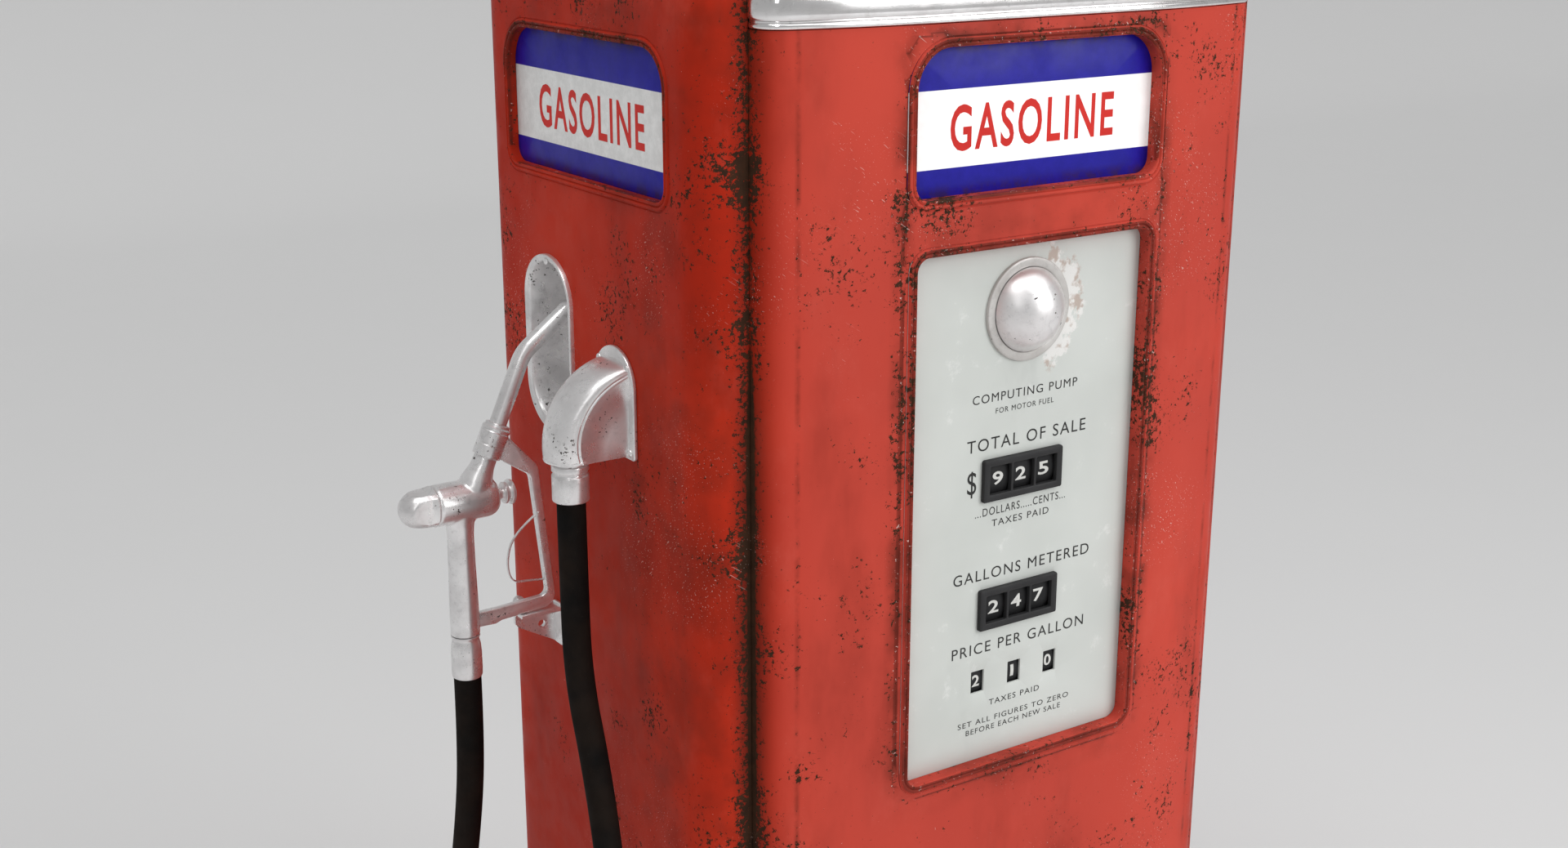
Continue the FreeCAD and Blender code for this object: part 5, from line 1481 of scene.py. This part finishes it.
def densified(line, step):
    """The same line with no gap between points longer than step."""
    dense = [line[0]]
    for one, two in zip(line, line[1:]):
        count = max(1, math.ceil((two - one).length / step))
        dense += [one.lerp(two, i / count) for i in range(1, count + 1)]
    return dense


def make_spout():
    """The spout: two straight runs with a bend between them, and a rolled mouth."""
    tip = Vector((-0.268, NOZZLE_Y, 1.0885))
    bend = Vector((-0.3147, NOZZLE_Y, 1.0536))
    line = densified([COLLAR_END] + round_corner(COLLAR_END, bend, tip, 0.032, 6.0, 2) + [tip], 0.006)
    rings = tube_rings(line, 0.0075, TUBE_SIDES)
    one, two = sweep_frames(line)[-1]
    back = (line[-2] - line[-1]).normalized()
    for radius, inward in ((0.0072, -0.0003), (0.0060, -0.0003), (0.0058, 0.0004), (0.0058, 0.012)):
        rings.append(ring_at(tip + back * inward, one, two, radius, TUBE_SIDES))
    dress(loft("spout_tube", rings, sharp=50), "nozzle", CAST, "cast_aluminium", "nozzle_spout")


def rounded_polygon(corners):
    """An outline in metres from corners (across, up, radius) in mm."""
    spots = [Vector(corner[:2]) for corner in corners]
    outline = []
    for i, (before, corner) in enumerate(zip(spots[-1:] + spots, spots)):
        outline += round_corner(before, corner, spots[(i + 1) % len(spots)], corners[i][2], 9.0, 1)
    return [(spot.x * MM, spot.y * MM) for spot in outline]


def make_guard():
    """Guard: a forked root on the collar, a thin bar down past the fingers, and a deeper foot."""
    corners = [(-334.0, 984.0, 1.5), (-305.5, 952.0, 11.0), (-292.6, 820.5, 12.0), (-346.0, 817.2, 3.0),
               (-352.0, 815.0, 1.5), (-369.0, 815.5, 1.0), (-369.0, 828.5, 1.0), (-349.0, 828.8, 2.0),
               (-301.6, 831.5, 6.0), (-313.8, 945.0, 7.0), (-345.0, 966.0, 2.0)]
    guard = slab("guard_bar", rounded_polygon(corners), NOZZLE_Y - 0.00325, 0.0065, 0.0012, nozzle_space)
    pin = lathe("trigger_pin", [(-4.4, 1.6), (-4.2, 2.3), (-3.4, 2.5), (-3.2, 2.3), (3.2, 2.3), (3.4, 2.5),
                                (4.2, 2.3), (4.4, 1.6)], TRIGGER_PIN, (0, 1, 0), 24)
    for piece in (guard, pin):
        dress(piece, "nozzle", CAST, "cast_aluminium", "nozzle_guard")


def make_trigger():
    """A thin bent strip from its pin in the guard down to the guard's foot."""
    bends = [(-0.331, 0.893), (-0.3385, 0.868), (-0.334, 0.8485), (-0.3165, 0.8475), (-0.3034, 0.8455)]
    line = densified(smooth_line([tuple(TRIGGER_PIN)] + [(x, NOZZLE_Y, z) for x, z in bends]), 0.004)
    section = [(0.75, 0.9), (0.75, -0.9), (0.35, -1.5), (-0.35, -1.5), (-0.75, -0.9), (-0.75, 0.9),
               (-0.35, 1.5), (0.35, 1.5)]
    rings = []
    for point, ahead in zip(line, tangents(line)):
        out = ahead.cross(Vector((0, 1, 0)))
        rings.append([point + out * (a * MM) + Vector((0, b * MM, 0)) for a, b in section])
    trigger = loft("trigger_lever", rings, sharp=50)
    dress(trigger, "trigger", CAST, "steel", "trigger")


def make_ferrule():
    low_z, top_z = FERRULE_Z
    tall = (top_z - low_z) / MM
    profile = [(0.0, 12.1), (0.4, 12.7), (2.0, 13.3), (8.0, 13.5), (tall - 16.0, 13.4), (tall - 9.0, 12.9),
               (tall - 5.5, 12), (tall - 4, 11.5), (tall - 3.2, 11.6), (tall - 2, 12.3), (tall - 0.8, 12.7),
               (tall, 12.5)]
    ferrule = lathe("ferrule_sleeve", profile, (HANDLE_X, NOZZLE_Y, low_z), (0, 0, 1), 64, sharp=28)
    dress(ferrule, "nozzle", CAST, "cast_aluminium", "hose_ferrule")


make_nozzle_body()
make_nozzle_cap()
make_stem()
make_collar()
make_spout()
make_guard()
make_trigger()
make_ferrule()


# ---- top, right side and base ----
# Middles of the crank and the switch, as (Y, Z), and the face of their collars.
CRANK_AT = (-0.040, 0.930)
SWITCH_AT = (0.060, 1.010)
COLLAR_FACE = SIDE_X + 0.0093


def arm_outline(centre, reach, wide, narrow):
    """A tapered arm that hangs from centre, round at both ends."""
    y, z = centre
    steps = [math.pi * i / 16 for i in range(17)]
    upper = [(y + wide * math.cos(t), z + wide * math.sin(t)) for t in steps]
    lower = [(y - narrow * math.cos(t), z - reach - narrow * math.sin(t)) for t in steps]
    return upper + lower


def make_globe_collar():
    profile = [(0.0, 95.0), (3.4, 95.0), (4.6, 94.2), (5.0, 93.0), (5.0, 82.8), (5.7, 80.8), (7.5, 80.0),
               (36.8, 80.0), (37.7, 79.5), (38.0, 78.4), (37.8, 76.5), (37.0, 76.0), (0.0, 76.0)]
    collar = lathe("globe_collar_ring", profile, (0.0, 0.0, low("globe_collar").z), (0, 0, 1), 96, loop=True)
    set_wear(collar, lambda place: 0.3)
    dress(collar, "root", ENAMEL, "red_enamel", "globe_collar")


def make_right_side():
    """Plates with four screws each, the reset crank with its turned knob, and the switch lever."""
    disc = [(0, 26), (2.6, 26), (3.6, 25.3), (4, 24.2), (4, 13.6), (4.4, 12.2), (5.4, 11.5), (8.4, 11.5),
            (9.0, 10.9), (9.0, 7.2)]
    head = [(4.0, 2.6), (4.6, 2.5), (5.1, 1.9), (5.35, 1.0), (5.4, 0.05)]
    made = bmesh.new()
    screw_circle = 0.019
    for y, z in (CRANK_AT, SWITCH_AT):
        add_loft(made, turned_rings(disc, (SIDE_X, y, z), (1, 0, 0)), caps=(False, False))
        for turn in [math.pi / 4 + math.pi / 2 * i for i in range(4)]:
            spot = (SIDE_X, y + screw_circle * math.cos(turn), z + screw_circle * math.sin(turn))
            add_loft(made, turned_rings(head, spot, (1, 0, 0), 20))
    plates = finish_mesh("side_plate_castings", made, 30)
    dress(plates, "root", CAST, "cast_aluminium", "side_plates")

    y, z = CRANK_AT
    crank_reach = 0.062
    hub = lathe("crank_hub", [(0.2, 12.0), (0.9, 12.9), (9.5, 13.0), (12.2, 12.0), (13.6, 9.0), (14.0, 4.0),
                              (14.0, 0.05)], (COLLAR_FACE, y, z), (1, 0, 0), 48)
    arm = slab("crank_arm", arm_outline(CRANK_AT, crank_reach, 0.009, 0.0085), COLLAR_FACE + 0.003,
               0.006, 0.0014, right_space)
    knob = lathe("crank_knob", [(8.0, 4.2), (10.0, 3.8), (12.0, 4.4), (14.5, 6.4), (20.0, 7.6), (28.0, 8.0),
                                (34.0, 7.4), (38.0, 5.2), (39.6, 2.6), (40.0, 0.05)],
                 (COLLAR_FACE, y, z - crank_reach), (1, 0, 0), 40)
    crank = joined("crank_handle", [hub, arm, knob])
    dress(crank, "reset_crank", CAST, "steel", "reset_crank")

    y, z = SWITCH_AT
    hub = lathe("switch_hub", [(0.2, 11.2), (0.9, 11.9), (8.5, 12), (10.8, 11), (11.8, 8), (12, 3),
                               (12.0, 0.05)], (COLLAR_FACE, y, z), (1, 0, 0), 48)
    blade = slab("switch_blade", arm_outline(SWITCH_AT, 0.070, 0.0070, 0.0068), COLLAR_FACE + 0.002,
                 0.007, 0.0018, right_space)
    lever = joined("switch_handle", [hub, blade])
    dress(lever, "switch_lever", CAST, "steel", "switch_lever")


def soften(node, width, segments=2):
    """Rounds the sharp edges of a CAD node that shows as it is."""
    edge = NODES[node].modifiers.new("edge", "BEVEL")
    edge.width = width
    edge.segments = segments
    edge.limit_method = "ANGLE"
    edge.angle_limit = math.radians(35)


make_globe_collar()
make_right_side()
soften("base_plinth", 0.004, 3)
for machine in ("flow_meter", "pump_unit", "motor", "motor_pulley", "pump_pulley", "frame_members"):
    soften(machine, 0.0012)


# ---- stage ----
def add_light(name, kind, power, facing):
    data = bpy.data.lights.new(name, kind)
    data.energy = power
    light = as_object(name, data)
    light.rotation_euler = facing.to_track_quat("-Z", "Y").to_euler()
    return light


def make_stage():
    """A pale floor that curves up into a wall behind the object, and soft white light."""
    reach, wall_y, cove, wall_top = 14.0, 6.0, 2.0, 9.0
    turns = [math.pi / 2 * i / 12 for i in range(1, 13)]
    section = [(-reach, 0.0), (wall_y, 0.0)]
    section += [(wall_y + cove * math.sin(turn), cove - cove * math.cos(turn)) for turn in turns]
    section.append((wall_y + cove, wall_top))
    made = bmesh.new()
    add_strip(made, *[[Vector((x, y, z)) for y, z in section] for x in (-reach, reach)])
    floor = finish_mesh("studio_floor", made)
    floor.data.materials.append(make_floor())
    world = bpy.data.worlds.new("studio")
    world.use_nodes = True
    world.node_tree.nodes["Background"].inputs["Color"].default_value = (1.0, 1.0, 1.0, 1.0)
    world.node_tree.nodes["Background"].inputs["Strength"].default_value = 0.40
    bpy.context.scene.world = world
    bpy.context.scene.view_settings.view_transform = "Standard"
    for name, place, target, size, power in (
            ("key", (2.1, -3.6, 2.3), (0.0, 0.0, 1.0), (2.4, 2.4), 70.0),
            ("strip", (-2.2, -2.6, 3.0), (-0.25, 0.0, 1.0), (0.5, 2.4), 9.0),
            ("top_left", (-0.8, -0.6, 3.2), (-0.33, 0.0, 1.0), (0.8, 0.8), 14.0)):
        light = add_light(name, "AREA", power, Vector(target) - Vector(place))
        light.location = place
        light.data.shape = "RECTANGLE"
        light.data.size, light.data.size_y = size
    sky = add_light("sky", "SUN", 0.95, Vector((-0.35, 0.35, -0.87)))
    sky.data.angle = math.radians(60)


make_stage()


def clothe_nodes():
    """Finishes for the CAD nodes that show as they are."""
    finishes = {"red_enamel": ENAMEL, "base_iron": IRON, "frame_steel": PRIMER, "bright_trim": BRIGHT,
                "cast_aluminium": CAST, "polished_metal": SHINY, "sign_glass": GLASS, "lamp_glass": OPAL,
                "dial_enamel": DIAL, "counter_black": COUNTER, "wheel_black": WHEEL, "steel": STEEL,
                "machine_iron": MACHINE, "belt_rubber": BELT, "hose_rubber": RUBBER}
    for part in frame["record"]["subparts"]:
        mesh = NODES[part["node"]].data
        mesh.materials.clear()
        mesh.materials.append(finishes[part["material_slot"]])


clothe_nodes()
